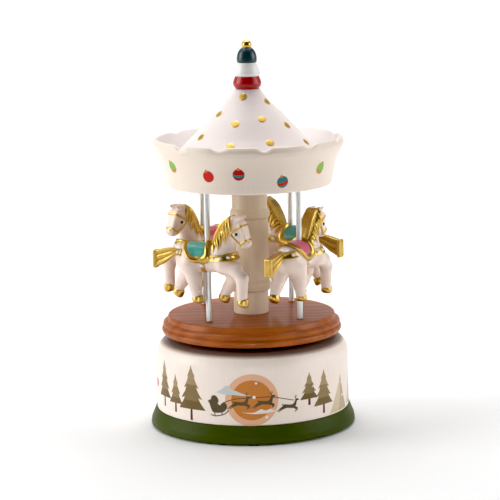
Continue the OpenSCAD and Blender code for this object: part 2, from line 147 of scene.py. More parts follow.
def paint(name, c, c2=None, rough=0.42, spread=0.06, bump=0.12, scale=180, coat=0.0, coat_rough=0.2, metallic=0.0, wear=None, spec=0.5, stretch=(1, 1, 1), sss=0.0):
    """Paint, enamel or print: slow tone drift, fine grain, a faint brushed or orange-peel relief and thin wear."""
    g = Graph(name)
    c2 = c2 or tuple([*(0.86 * x for x in c[:3]), 1.0])
    v = g.mapped(stretch)
    slow = g.noise(v, scale * 0.16, 3.0)
    fine = g.noise(v, scale * 3.1, 5.0, 0.6)
    col = g.mix(g.maprange(slow, 0.0, 1.0, 0.32, 0.68), c, c2)
    col = g.mix(g.maprange(fine, 0.0, 0.22, 0.52, 0.8), col, tuple([*(0.9 * x for x in c2[:3]), 1.0]))
    if wear:
        spots = g.noise(g.mapped((1, 1, 1)), scale * 1.35, 2.0, 0.5, 0.6)
        col = g.mix(g.maprange(spots, 0.0, 0.75, 0.765, 0.80), col, wear)
    rg = g.maprange(g.math("ADD", g.math("MULTIPLY", slow, 0.6), g.math("MULTIPLY", fine, 0.4)), rough - spread, rough + spread, 0.3, 0.7)
    n1 = g.bump(fine, bump, 0.00006)
    n2 = g.bump(slow, bump * 1.3, 0.0003, n1)
    fixed = dict(Metallic=metallic, Coat_Weight=coat, Coat_Roughness=coat_rough, Specular_IOR_Level=spec)
    if sss:
        fixed.update(Subsurface_Weight=sss, Subsurface_Radius=(0.0012, 0.0008, 0.0006), Subsurface_Scale=1.0)
    return g.out(col, rg, n2, **fixed)


def lacquered_wood(name, c, shade, rough=0.4, grain=(18, 18, 2.2), bump=0.16, painted_shade_band=None):
    """Satin lacquer sprayed over turned wood: the grain and pores show faintly through, with tiny specks."""
    g = Graph(name)
    v = g.mapped(grain)
    fibre = g.noise(v, 34, 6.0, 0.6, 0.35)
    slow = g.noise(g.mapped(), 22, 3.0)
    pores = g.node("ShaderNodeTexVoronoi")
    pores.inputs["Scale"].default_value = 330
    g.link(g.mapped((1, 1, 1)), pores.inputs["Vector"])
    speck = g.maprange(pores.outputs["Distance"], 1.0, 0.0, 0.05, 0.085)
    gate = g.maprange(g.noise(g.mapped(), 130, 2.0), 0.0, 1.0, 0.60, 0.66)
    col = g.mix(g.maprange(slow, 0.0, 1.0, 0.3, 0.7), c, shade)
    col = g.mix(g.maprange(fibre, 0.0, 0.35, 0.5, 0.75), col, tuple([*(0.93 * x for x in shade[:3]), 1.0]))
    col = g.mix(g.math("MULTIPLY", g.math("MULTIPLY", speck, gate), 0.55), col, srgb(176, 150, 128))
    # Painted shade: from a given height in object Z upward, the colour turns dark brown. It stands in for the shadow
    # under the turntable.
    if painted_shade_band:
        sep = g.node("ShaderNodeSeparateXYZ")
        g.link(g.tc.outputs["Object"], sep.inputs[0])
        edge = g.math("ADD", sep.outputs["Z"], g.math("MULTIPLY", fibre, 0.0003))
        col = g.mix(g.maprange(edge, 0.0, 0.86, painted_shade_band[0], painted_shade_band[1]), col, painted_shade_band[2])
    rg = g.maprange(fibre, rough - 0.05, rough + 0.08, 0.3, 0.7)
    n = g.bump(fibre, bump, 0.00016)
    n = g.bump(slow, bump, 0.0004, n)
    return g.out(col, rg, n, Coat_Weight=0.12, Coat_Roughness=0.28)


def gold(name, tone=1.0, rough=0.30):
    """Gold metallic paint with brushed-on unevenness; painted shade darkens its hollows."""
    g = Graph(name)
    v = g.mapped()
    a = g.noise(v, 190, 4.0, 0.6, 0.3)
    b = g.noise(v, 1500, 4.0, 0.6)
    geo = g.node("ShaderNodeNewGeometry")
    # Painted shade: hollows (low pointiness) are mixed toward a dark brown gold.
    hollow_shade_mask = g.maprange(geo.outputs["Pointiness"], 0.0, 1.0, 0.44, 0.52)
    hi = tuple([*(tone * x for x in (0.84, 0.58, 0.165)), 1.0])
    mid = tuple([*(tone * x for x in (0.64, 0.395, 0.082)), 1.0])
    hollow_shade_color = tuple([*(tone * x for x in (0.22, 0.108, 0.016)), 1.0])
    col = g.mix(g.maprange(a, 0.0, 1.0, 0.3, 0.7), hi, mid)
    col = g.mix(hollow_shade_mask, hollow_shade_color, col)
    rg = g.maprange(g.math("ADD", g.math("MULTIPLY", a, 0.5), g.math("MULTIPLY", b, 0.5)), rough - 0.06, rough + 0.1, 0.3, 0.7)
    n = g.bump(b, 0.05, 0.00004)
    n = g.bump(a, 0.10, 0.0002, n)
    return g.out(col, rg, n, Metallic=1.0)


def metal(name, c, rough=0.25, brush=(1, 1, 1), bump=0.08, scale=400):
    g = Graph(name)
    v = g.mapped(brush)
    a = g.noise(v, scale, 5.0, 0.6)
    b = g.noise(g.mapped(), 60, 3.0)
    col = g.mix(g.maprange(b, 0.0, 1.0, 0.3, 0.7), c, tuple([*(0.82 * x for x in c[:3]), 1.0]))
    col = g.mix(g.maprange(a, 0.0, 0.3, 0.5, 0.8), col, tuple([*(0.6 * x for x in c[:3]), 1.0]))
    rg = g.maprange(a, rough - 0.07, rough + 0.1, 0.3, 0.7)
    return g.out(col, rg, g.bump(a, bump, 0.00005), Metallic=1.0)


def varnished_wood(name, light, mid, dark, rough=0.3, coat=0.55, stretch=(2.2, 26, 26)):
    """Varnished hardwood: growth bands along X, fine fibres, short dark pores under a clear coat."""
    g = Graph(name)
    v = g.mapped(stretch)
    warp = g.noise(g.mapped((0.8, 3.0, 3.0)), 9, 3.0)
    w = g.node("ShaderNodeTexWave", wave_type="BANDS", bands_direction="Y")
    w.inputs["Scale"].default_value = 46
    w.inputs["Distortion"].default_value = 9.0
    w.inputs["Detail"].default_value = 3.0
    w.inputs["Detail Scale"].default_value = 0.7
    g.link(g.mapped((0.14, 0.9, 0.9)), w.inputs["Vector"])
    bands = g.maprange(w.outputs["Fac"], 0.0, 1.0)
    fibre = g.noise(v, 24, 7.0, 0.65, 0.25)
    pore = g.noise(g.mapped((7, 95, 95)), 22, 2.0, 0.5)
    col = g.ramp(g.math("ADD", g.math("MULTIPLY", warp, 0.42), g.math("MULTIPLY", bands, 0.22)), [(0.10, dark), (0.34, mid), (0.62, light)])
    col = g.mix(g.maprange(fibre, 0.0, 0.45, 0.45, 0.72), col, dark)
    col = g.mix(g.maprange(pore, 0.0, 0.5, 0.62, 0.72), col, tuple([*(0.45 * x for x in dark[:3]), 1.0]))
    rg = g.maprange(fibre, rough - 0.05, rough + 0.12, 0.3, 0.7)
    n = g.bump(fibre, 0.14, 0.00012)
    n = g.bump(pore, 0.10, 0.0001, n)
    return g.out(col, rg, n, Coat_Weight=coat, Coat_Roughness=0.13, Specular_IOR_Level=0.22)


CREAM = srgb(244, 237, 229)
M = {}
# The drum's cream has painted shade: dark brown from 44.8 mm up to its top, standing in for the shadow under the
# turntable.
M["cream"] = lacquered_wood("cream_lacquer", srgb(244, 231, 221), srgb(239, 224, 212), 0.42, painted_shade_band=(0.0448, 0.0465, srgb(88, 48, 24)))
# The column's cream is darker and browner than the drum's. This is partly its own beige and partly painted shade from
# the canopy above it.
M["cream_column"] = lacquered_wood("column_lacquer_with_painted_shade", srgb(226, 209, 184), srgb(218, 199, 171), 0.40)
M["cream_canopy"] = lacquered_wood("canopy_lacquer", srgb(246, 231, 216), srgb(241, 225, 209), 0.42)
M["cream_bowl"] = lacquered_wood("bowl_lacquer", srgb(246, 241, 239), srgb(242, 235, 233), 0.46)
M["cream_cone"] = lacquered_wood("cone_lacquer", srgb(243, 232, 228), srgb(239, 226, 222), 0.46, (60, 60, 300))
M["green"] = paint("green_paint", srgb(63, 77, 14), srgb(57, 70, 8), rough=0.46, coat=0.0, coat_rough=0.25, bump=0.14, stretch=(1, 1, 3), spec=0.14)
M["wood"] = varnished_wood("turntable_wood", srgb(178, 100, 34), srgb(165, 87, 26), srgb(142, 70, 17), 0.49, 0.22)
M["horse"] = paint("horse_enamel", srgb(240, 221, 208), srgb(236, 214, 200), rough=0.36, coat=0.25, coat_rough=0.22, bump=0.10, scale=240, sss=0.12)
M["gold"] = gold("gold_leaf_paint", 0.88)
M["gold_dark"] = gold("gold_hoof_paint", 0.90, 0.34)
M["teal_saddle"] = paint("teal_saddle_enamel", srgb(88, 176, 164), srgb(66, 158, 146), rough=0.34, coat=0.3, scale=260)
M["green_saddle"] = paint("deep_green_saddle_enamel", srgb(70, 152, 134), srgb(52, 132, 116), rough=0.34, coat=0.3, scale=260)
M["pink_saddle"] = paint("pink_saddle_enamel", srgb(222, 112, 136), srgb(208, 92, 118), rough=0.34, coat=0.3, scale=260)
M["rose_saddle"] = paint("rose_saddle_enamel", srgb(214, 88, 110), srgb(198, 70, 94), rough=0.34, coat=0.3, scale=260)
M["pearl"] = paint("pearl_white", srgb(246, 246, 250), srgb(228, 230, 240), rough=0.2, coat=0.6, coat_rough=0.08, scale=500)
M["eye"] = paint("eye_black", srgb(14, 12, 12), srgb(24, 20, 18), rough=0.12, coat=0.9, coat_rough=0.04, scale=500)
M["pole"] = metal("pole_plating", (0.76, 0.77, 0.76, 1), 0.40, (1, 1, 0.12), 0.03, 500)
M["red"] = paint("red_enamel", srgb(184, 3, 8), srgb(160, 0, 4), rough=0.36, coat=0.10, coat_rough=0.16, scale=220, stretch=(1, 1, 5))
M["white"] = paint("white_enamel", srgb(247, 247, 245), srgb(235, 235, 233), rough=0.4, coat=0.15, scale=220, stretch=(1, 1, 5))
M["teal"] = paint("dark_teal_enamel", srgb(24, 62, 70), srgb(15, 48, 56), rough=0.34, coat=0.15, coat_rough=0.2, scale=220, stretch=(1, 1, 5))
M["gold_ball"] = gold("gold_plated_bead", 1.0, 0.2)
M["gold_dot"] = gold("gold_foil_dot", 0.94, 0.42)
M["felt"] = paint("felt", srgb(40, 46, 42), srgb(26, 30, 28), rough=0.95, bump=0.7, scale=420, spec=0.1)
M["ply"] = varnished_wood("plywood", srgb(214, 180, 134), srgb(200, 162, 116), srgb(170, 128, 84), 0.55, 0.0)
M["steel"] = metal("zinc_steel", (0.62, 0.63, 0.65, 1), 0.3)
M["nickel"] = metal("nickel_plate", (0.72, 0.70, 0.66, 1), 0.28, (1, 8, 1))
M["brass"] = metal("movement_brass", (0.80, 0.58, 0.24, 1), 0.24, (6, 1, 1))
M["blued"] = metal("blued_spring_steel", (0.20, 0.23, 0.32, 1), 0.26)
M["nylon"] = paint("white_nylon", srgb(232, 232, 226), srgb(218, 218, 210), rough=0.5, scale=260, sss=0.1)
M["beech"] = varnished_wood("bare_beech", srgb(226, 192, 148), srgb(212, 174, 128), srgb(186, 144, 98), 0.6, 0.0, (26, 26, 2.2))


def print_mat(name, c, c2=None, rough=0.44):
    return paint(name, c, c2, rough=rough, spread=0.05, bump=0.08, scale=320, spec=0.25)


# --------------------------------------------------------------- mesh helpers


def new_mesh(name, verts, faces, mat, body, smooth=True, mats=None, face_mat=None, angle=None):
    me = bpy.data.meshes.new(name)
    me.from_pydata([tuple(v) for v in np.asarray(verts, float) * MM], [], [tuple(int(i) for i in f) for f in faces])
    me.update()
    for m in (mats or [mat]):
        me.materials.append(m)
    if face_mat is not None:
        me.polygons.foreach_set("material_index", np.asarray(face_mat, np.int32))
    me.polygons.foreach_set("use_smooth", [smooth] * len(me.polygons))
    if angle is not None:
        me.set_sharp_from_angle(angle=math.radians(angle))
    o = bpy.data.objects.new(name, me)
    bpy.context.scene.collection.objects.link(o)
    if body:
        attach(o, body)
    return o


def fillet(points, n=6):
    """Points (x, y) or (x, y, radius): the corners with a radius become arcs."""
    out = []
    for i, p in enumerate(points):
        r = p[2] if len(p) > 2 else 0
        if r <= 0 or i in (0, len(points) - 1):
            out.append((p[0], p[1]))
            continue
        a, b, c = (np.array(q[:2], float) for q in (points[i - 1], p, points[i + 1]))
        u, v = (a - b) / np.linalg.norm(a - b), (c - b) / np.linalg.norm(c - b)
        cosv = float(np.clip(u @ v, -0.9999, 0.9999))
        half = math.acos(cosv) / 2
        d = min(r / math.tan(half), 0.48 * np.linalg.norm(a - b), 0.48 * np.linalg.norm(c - b))
        rr = d * math.tan(half)
        mid = (u + v) / np.linalg.norm(u + v)
        centre = b + mid * rr / math.sin(half)
        p0, p1 = b + u * d - centre, b + v * d - centre
        a0, a1 = math.atan2(p0[1], p0[0]), math.atan2(p1[1], p1[0])
        da = (a1 - a0 + math.pi) % (2 * math.pi) - math.pi
        for k in range(n + 1):
            t = a0 + da * k / n
            out.append((centre[0] + rr * math.cos(t), centre[1] + rr * math.sin(t)))
    return out


def densify(pts, step):
    out = [pts[0]]
    for a, b in zip(pts[:-1], pts[1:]):
        n = max(1, int(math.ceil(math.dist(a, b) / step)))
        out += [(a[0] + (b[0] - a[0]) * k / n, a[1] + (b[1] - a[1]) * k / n) for k in range(1, n + 1)]
    return out


def lathe(name, profile, mat, body, seg=192, closed=False, shape=None, mats=None, mat_of=None, angle=38):
    """profile: (r, z) points in mm, outside to the left of travel when going up; shape(x, y, z) may move the vertices."""
    P = np.array(profile, float)
    th = np.linspace(0, 2 * math.pi, seg, endpoint=False)
    X = P[:, 0][:, None] * np.cos(th)
    Y = P[:, 0][:, None] * np.sin(th)
    Z = np.repeat(P[:, 1][:, None], seg, 1)
    V = np.stack([X, Y, Z], -1)
    if shape is not None:
        V = shape(V, P)
    V = V.reshape(-1, 3)
    faces, fm = [], []
    n = len(P)
    rows = n if closed else n - 1
    for i in range(rows):
        j = (i + 1) % n
        for k in range(seg):
            l = (k + 1) % seg
            faces.append((i * seg + k, i * seg + l, j * seg + l, j * seg + k))
            if mat_of:
                fm.append(mat_of(i))
    verts = list(V)
    if not closed:
        for row, flip in ((0, True), (n - 1, False)):
            if P[row, 0] > 1e-6:
                loop = [row * seg + k for k in range(seg)]
                faces.append(tuple(reversed(loop)) if flip else tuple(loop))
                if mat_of:
                    fm.append(mat_of(min(row, rows - 1)))
    o = new_mesh(name, verts, faces, mat, body, mats=mats, face_mat=fm if mat_of else None)
    bm = bmesh.new()
    bm.from_mesh(o.data)
    bmesh.ops.remove_doubles(bm, verts=bm.verts, dist=1e-7)
    bmesh.ops.recalc_face_normals(bm, faces=bm.faces)
    bm.to_mesh(o.data)
    bm.free()
    o.data.polygons.foreach_set("use_smooth", [True] * len(o.data.polygons))
    o.data.set_sharp_from_angle(angle=math.radians(angle))
    return o


def wrapped(name, loops, mapper, mat, body, step=1.1):
    """Flat outlines (u, v) in mm, meshed and laid on a curved surface by mapper(u, v, offset)."""
    bm = bmesh.new()
    for loop in loops:
        vs = [bm.verts.new((u, v, 0)) for u, v in loop]
        bm.faces.new(vs)
    bmesh.ops.triangulate(bm, faces=bm.faces[:])
    for _ in range(6):
        long = [e for e in bm.edges if e.calc_length() > step]
        if not long:
            break
        bmesh.ops.subdivide_edges(bm, edges=long, cuts=1)
        bmesh.ops.triangulate(bm, faces=bm.faces[:])
    bm.normal_update()
    for f in bm.faces:
        if f.normal.z < 0:
            f.normal_flip()
    for v in bm.verts:
        v.co = Vector(mapper(v.co.x, v.co.y)) * MM
    me = bpy.data.meshes.new(name)
    bm.to_mesh(me)
    bm.free()
    me.materials.append(mat)
    me.polygons.foreach_set("use_smooth", [True] * len(me.polygons))
    o = bpy.data.objects.new(name, me)
    bpy.context.scene.collection.objects.link(o)
    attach(o, body)
    return o


def surface_nets(F, origin, h):
    """Closed quad surface of F < 0."""
    nx, ny, nz = F.shape
    S = F < 0
    corner = [(i, j, k) for i in (0, 1) for j in (0, 1) for k in (0, 1)]
    cnt = np.zeros((nx - 1, ny - 1, nz - 1), np.int8)
    for i, j, k in corner:
        cnt += S[i:nx - 1 + i, j:ny - 1 + j, k:nz - 1 + k]
    cell = (cnt > 0) & (cnt < 8)
    ci, cj, ck = np.nonzero(cell)
    idx = np.full(cell.shape, -1, np.int64)
    idx[ci, cj, ck] = np.arange(len(ci))
    acc = np.zeros((len(ci), 3))
    num = np.zeros(len(ci))
    edges = []
    for ax in range(3):
        o1, o2 = [a for a in range(3) if a != ax]
        for p in (0, 1):
            for q in (0, 1):
                a = [0, 0, 0]
                a[o1], a[o2] = p, q
                b = list(a)
                b[ax] = 1
                edges.append((a, b, ax))
    for a, b, ax in edges:
        fa = F[ci + a[0], cj + a[1], ck + a[2]]
        fb = F[ci + b[0], cj + b[1], ck + b[2]]
        cross = (fa < 0) != (fb < 0)
        t = np.where(cross, fa / np.where(cross, fa - fb, 1), 0)
        pos = np.array(a, float)[None, :] + np.zeros((len(ci), 3))
        pos[:, ax] += t
        acc[cross] += pos[cross]
        num[cross] += 1
    V = (np.stack([ci, cj, ck], 1) + acc / num[:, None]) * h + np.array(origin)
    quads = []
    for ax in range(3):
        sl0, sl1 = [slice(None)] * 3, [slice(None)] * 3
        sl0[ax], sl1[ax] = slice(0, -1), slice(1, None)
        A, B = S[tuple(sl0)], S[tuple(sl1)]
        o1, o2 = (ax + 1) % 3, (ax + 2) % 3
        ch = A != B
        e = np.argwhere(ch)
        ok = (e[:, o1] > 0) & (e[:, o2] > 0) & (e[:, o1] < F.shape[o1] - 1) & (e[:, o2] < F.shape[o2] - 1)
        e = e[ok]
        sign = A[e[:, 0], e[:, 1], e[:, 2]]
        d1, d2 = np.zeros(3, int), np.zeros(3, int)
        d1[o1], d2[o2] = 1, 1
        c = [e - d1 - d2, e - d2, e, e - d1]
        ids = np.stack([idx[x[:, 0], x[:, 1], x[:, 2]] for x in c], 1)
        ids[~sign] = ids[~sign][:, ::-1]
        quads.append(ids)
    return V, np.concatenate(quads)


# -------------------------------------------------------------------- horses


def smin(a, b, k):
    h = np.clip(0.5 + 0.5 * (b - a) / k, 0, 1)
    return b + (a - b) * h - k * h * (1 - h)


def smax(a, b, k):
    return -smin(-a, -b, k)


class Field:
    def __init__(self, lo, hi, h):
        self.lo, self.h = lo, h
        ax = [np.arange(lo[i], hi[i] + h, h, dtype=np.float32) for i in range(3)]
        self.S, self.T, self.Z = np.meshgrid(*ax, indexing="ij")

    def ell(self, c, r):
        a = [(q - c[i]) / r[i] for i, q in enumerate((self.S, self.T, self.Z))]
        b = [(q - c[i]) / (r[i] * r[i]) for i, q in enumerate((self.S, self.T, self.Z))]
        k0 = np.sqrt(a[0] ** 2 + a[1] ** 2 + a[2] ** 2)
        k1 = np.sqrt(b[0] ** 2 + b[1] ** 2 + b[2] ** 2) + 1e-6
        return k0 * (k0 - 1) / k1

    def cap(self, a, b, ra, rb, sy=1.0):
        d = [b[0] - a[0], (b[1] - a[1]) * sy, b[2] - a[2]]
        px, py, pz = self.S - a[0], (self.T - a[1]) * sy, self.Z - a[2]
        L = d[0] ** 2 + d[1] ** 2 + d[2] ** 2
        t = np.clip((px * d[0] + py * d[1] + pz * d[2]) / L, 0, 1)
        q = np.sqrt((px - t * d[0]) ** 2 + (py - t * d[1]) ** 2 + (pz - t * d[2]) ** 2) - (ra + (rb - ra) * t)
        return q / (sy if sy > 1 else 1)

    def chain(self, pts, rad, sy=1.0, k=0.5):
        d = None
        for (a, b), (ra, rb) in zip(zip(pts[:-1], pts[1:]), zip(rad[:-1], rad[1:])):
            c = self.cap(a, b, ra, rb, sy)
            d = c if d is None else smin(d, c, k)
        return d


def line2d(S, Z, pts):
    """Distance to a polyline in the side view."""
    d = None
    for (x0, z0), (x1, z1) in zip(pts[:-1], pts[1:]):
        ux, uz = x1 - x0, z1 - z0
        t = np.clip(((S - x0) * ux + (Z - z0) * uz) / (ux * ux + uz * uz), 0, 1)
        q = np.sqrt((S - x0 - t * ux) ** 2 + (Z - z0 - t * uz) ** 2)
        d = q if d is None else np.minimum(d, q)
    return d


def horse_body(f):
    S, T, Z = f.S, f.T, f.Z
    aT = np.abs(T)
    d = smin(f.ell((-11.0, 0, 93.4), (7.6, 6.7, 6.9)), f.cap((-8, 0, 94.7), (8.2, 0, 94.5), 7.3, 7.1, 1.13), 2.5)
    d = smin(d, f.ell((9.4, 0, 94.6), (6.1, 6.4, 7.1)), 2.5)
    trunk = d
    # haunch and shoulder muscles
    for s in (-1, 1):
        d = smin(d, f.ell((-9.8, s * 3.0, 92.6), (6.2, 4.0, 6.6)), 2.0)
        d = smin(d, f.ell((11.4, s * 2.9, 92.4), (4.5, 3.9, 5.4)), 2.0)
    neck = f.chain([(9.2, 0, 98.4), (13.9, 0, 110.8), (15.6, 0, 113.6)], [5.9, 4.9, 3.9], 1.2, 1.0)
    # head as a tapered block along the line of the face
    n = np.array([0.952, 0.305]); u = np.array([0.305, -0.952])
    q = 55.6 - (n[0] * S + n[1] * Z)
    w = u[0] * S + u[1] * Z
    tw = np.clip((w + 103.1) / 13.0, -0.15, 1.1)
    thick = 8.9 - 3.6 * tw
    wid = 3.8 - 0.95 * tw + 0.25 * np.exp(-((tw - 0.25) / 0.18) ** 2)
    r = 1.5
    bx = [np.abs(w + 96.6) - (6.75 - r), np.abs(q - thick / 2) - (thick / 2 - r), aT - (wid - r)]
    head = np.sqrt(sum(np.maximum(b, 0) ** 2 for b in bx)) + np.minimum(np.maximum(np.maximum(bx[0], bx[1]), bx[2]), 0) - r
    cheek = f.ell((18.9, 0, 107.4), (3.4, 3.85, 3.9))
    head = smin(head, cheek, 1.2)
    head = smin(head, f.ell((22.7, 0, 103.5), (2.8, 3.0, 2.5)), 0.7)      # muzzle
    head = smin(head, f.cap((19.6, 0, 103.5), (22.4, 0, 102.4), 1.7, 1.35), 0.7)
    neck = smin(neck, head, 2.2)
    d = smin(d, neck, 3.2)
    for s in (-1, 1):
        ear = f.chain([(14.6, s * 1.9, 115.3), (17.4, s * 2.3, 116.0), (20.9, s * 2.6, 117.2)], [2.2, 1.75, 0.75], 1.15, 0.8)
        ear = smax(ear, -f.cap((17.6, s * 4.15, 116.2), (20.2, s * 4.0, 117.0), 0.95, 0.5), 0.5)
        d = smin(d, ear, 0.9)
    # the dock, a small hood over the root of the tail
    d = smin(d, f.chain([(-12.5, 0, 97.2), (-16.2, 0, 99.2), (-19.6, 0, 100.1)], [3.6, 2.3, 0.9], 1.0, 0.8), 1.6)
    # legs
    legs = [
        ([(11.6, -3.3, 92.0), (18.4, -3.5, 89.5), (21.7, -3.6, 85.6), (21.6, -3.6, 75.0)], [4.5, 3.75, 3.2, 2.75]),
        ([(11.8, 3.3, 91.0), (13.0, 3.5, 83.6), (10.3, 3.6, 79.2), (7.7, 3.6, 75.4)], [4.8, 3.5, 2.95, 2.6]),
        ([(-8.4, -3.3, 91.0), (-6.6, -3.5, 84.4), (-5.9, -3.6, 80), (-5.1, -3.6, 75.2)], [5.6, 4.0, 3.15, 2.8]),
        ([(-11.2, 3.3, 91.0), (-14.6, 3.5, 85.2), (-17.0, 3.6, 80.8), (-19.3, 3.6, 77.0)], [5.6, 3.9, 3.1, 2.7]),
    ]
    for pts, rad in legs:
        leg = f.chain(pts, rad, 1.0, 1.6)
        d = smin(d, leg, 2.0)
    return d, trunk


HOOVES = [((21.6, -3.6), 70.7, 11, 1), ((7.1, 3.6), 71.3, 26, 1), ((-5.0, -3.6), 70.9, 5, 1), ((-20.2, 3.6), 72.5, 32, 1)]


def horse_hooves(f):
    out = None
    for (x, y), z0, tilt, _ in HOOVES:
        a = math.radians(tilt)
        c, s = math.cos(a), math.sin(a)
        dx, dz = f.S - x, f.Z - (z0 + 2.4)
        lx, lz = c * dx - s * dz, s * dx + c * dz
        t = f.T - y
        taper = 1 + 0.05 * (lz + 2.2) + 0.020 * np.maximum(-lz - 0.6, 0) ** 2
        e = np.sqrt(((lx - 0.45) * taper / 3.55) ** 2 + (t * taper / 3.1) ** 2)
        side = (e - 1) * 3.1
        hoof = smax(smax(side, -lz - 2.3 - 0.10 * lx, 2.2), lz - 2.1 - 0.06 * lx, 1.0)
        heel = np.sqrt((lx + 2.4) ** 2 + t ** 2 + (lz + 2.3) ** 2) - 0.7
        hoof = smax(hoof, -heel, 0.6)
        out = hoof if out is None else np.minimum(out, hoof)
    return out


CREST = [(14.6, 117.2), (12.8, 115.7), (10.1, 112.2), (7.6, 108.2), (5.6, 104.4), (4.4, 101.8)]
TIPS = [(15.4, 106.8), (13.4, 105.3), (11.4, 103.4), (9.2, 101.4), (7.0, 99.8), (5.0, 98.9)]


def along(pts, t):
    x = t * (len(pts) - 1)
    i = min(int(x), len(pts) - 2)
    u = x - i
    return (pts[i][0] * (1 - u) + pts[i + 1][0] * u, pts[i][1] * (1 - u) + pts[i + 1][1] * u)


MANE_STRANDS = []
for _i in range(15):
    _t = _i / 14
    _a, _c = along(CREST, _t), along(TIPS, _t)
    _c = (_c[0] + 0.5 * math.sin(_i * 2.4), _c[1] + 1.9 * math.cos(_i * 3.9 + 0.4))
    _b = (0.42 * _a[0] + 0.58 * _c[0] + 0.85, 0.5 * (_a[1] + _c[1]) - 0.2)
    MANE_STRANDS.append((_a, _b, _c, 0.64 + 0.15 * math.cos(_i * 2.9), 0.16 * math.sin(_i * 3.6)))


def horse_pieces(h):
    f = Field((-34, -9.6, 69.4), (29.5, 9.6, 122.0), h)
    S, T, Z = f.S, f.T, f.Z
    aT = np.abs(T)
    D, trunk = horse_body(f)
    body = D.copy()
    # nostrils, mouth line, eye rings
    for s in (-1, 1):
        body = smax(body, -f.ell((24.9, s * 1.75, 104.6), (0.55, 0.5, 0.75)), 0.25)
        body = smax(body, -f.cap((23.9, s * 2.7, 102.8), (20.9, s * 2.9, 104.1), 0.28, 0.18), 0.15)
    ring_d = np.sqrt((np.sqrt((S - 18.9) ** 2 + (Z - 108.6) ** 2) - 1.35) ** 2 + np.minimum(np.abs(D), 3) ** 2) - 0.26
    body = smin(body, np.where(aT > 1.5, ring_d, 9.0), 0.25)
    pole = np.sqrt(S ** 2 + T ** 2) - 1.46
    body = smax(body, -pole, 0.1)
    out = {"body": body}
    hooves = horse_hooves(f)
    out["hooves"] = hooves

    # saddle cloth: colour field, gold edge with a raised rib
    top = 104.4 + 0.0 * S
    v = np.maximum(top - Z, 0)
    gi = (np.abs((S + 6.1 - 0.44 * v) / 5.3) ** 3.0 + (v / 7.9) ** 2.4) ** (1 / 2.7)
    go = (np.abs((S + 6.1 - 0.46 * v) / 8.0) ** 3.0 + (v / 11.9) ** 2.4) ** (1 / 2.7)
    di, do = (gi - 1) * 5.0, (go - 1) * 7.5
    shell = lambda t, e=0.9: smax(D - t, -(D + e), 0.2)
    keep = (Z > 88) & (Z < 112)
    rise = 0.5 * np.exp(-((S - 0.9) / 1.4) ** 2) * np.exp(-(v / 4.0) ** 2) + 0.35 * np.exp(-((S + 13.0) / 1.6) ** 2) * np.exp(-(v / 4.5) ** 2)
    cloth = smax(shell(0.95), di - 0.25, 0.5)
    out["saddle"] = np.where(keep, smax(cloth, -pole, 0.1), 5.0)
    pos = np.clip((di - 0.1) / np.maximum((di - 0.1) - (do + 0.05), 0.2), 0, 1)
    rib = 0.75 + 0.95 * np.clip(np.sin(np.pi * pos), 0, 1) ** 1.3
    two = 0.8 + 0.75 * np.clip(np.sin(np.pi * pos), 0, 1) ** 0.8
    front = 1 / (1 + np.exp(-(S - 0.2) * 2.5))
    edge = smax(smax(D - (rib * (1 - front) + two * front + rise), -(D + 0.9), 0.2), smax(do, -di, 0.35), 0.45)
    gold_d = np.where(keep, edge, 5.0)

    # breast band, rump band, girth
    zb = 95.3 + (S - 2.0) * 0.085
    bandh = np.abs(Z - zb)
    plate = 1 / (1 + np.exp(-(S - 12.2) * 4))
    band = smax(smax(D - (0.55 + 0.2 * plate + 0.22 * np.exp(-((bandh - 1.4) / 0.35) ** 2)), -(D + 0.8), 0.2), smax(bandh - 1.75 - 0.35 * plate, 1.2 - S, 0.3), 0.3)
    gold_d = np.minimum(gold_d, np.where(S > 0.5, band, 5.0))
    zr = 97.6 - 0.10 * (-12 - S)
    rumph = np.abs(Z - zr)
    rump = smax(smax(D - (0.55 + 0.35 * np.exp(-((rumph - 1.25) / 0.3) ** 2)), -(D + 0.8), 0.2), smax(rumph - 1.8, S + 12.6, 0.3), 0.3)
    gold_d = np.minimum(gold_d, np.where(S < -10, rump, 5.0))
    gw = np.abs(S + 0.4 - 0.12 * (Z - 90))
    girth = smax(smax(trunk - 0.62, -(trunk + 0.8), 0.2), smax(gw - 1.15, Z - 93.4, 0.3), 0.3)
    gold_d = np.minimum(gold_d, np.where((Z < 94) & (Z > 85.5) & (np.abs(S + 0.4) < 4), girth, 5.0))

    # bridle straps
    strap = line2d(S, Z, [(25.4, 115.0), (16.9, 110.2), (15.6, 108.4), (21.0, 102.7)])
    strap = np.minimum(strap, line2d(S, Z, [(20.2, 103.2), (28.6, 107.9)]))
    bridle = smax(smax(D - 0.42, -(D + 0.9), 0.1), strap - 0.56, 0.2)
    gold_d = np.minimum(gold_d, np.where((S > 14.6) & (Z > 100.5), bridle, 5.0))
    gold_d = smax(gold_d, -pole, 0.1)
    out["harness"] = gold_d

    # mane: broad crest with locks down both sides
    pad = line2d(S, Z, [(14.6, 116.0), (12.4, 114.6), (9.7, 111.4), (7.3, 107.4), (5.4, 103.6), (4.3, 101.2)])
    thin = np.interp(Z, [100, 103, 108, 114, 118], [0.9, 1.35, 1.75, 1.9, 1.6]).astype(np.float32)
    wide = np.interp(Z, [100, 103, 108, 114, 118], [2.0, 2.9, 3.4, 3.5, 3.0]).astype(np.float32)
    groove = 0.10 * np.cos(T * 2 * np.pi / 1.9 + 0.5) * np.clip(aT / 2, 0, 1)
    mane = smax(pad - thin + groove, aT - wide, 0.9)

    def surf_t(s, z, side):
        """Where the neck's surface is at a side-view point."""
        i = int(round((s - f.lo[0]) / f.h)); k = int(round((z - f.lo[2]) / f.h))
        col = D[i, :, k]
        ts = f.T[i, :, k]
        m = ts * side >= 0
        ins = m & (col < 0)
        return (np.max(ts[ins] * side) if ins.any() else 2.5) * side

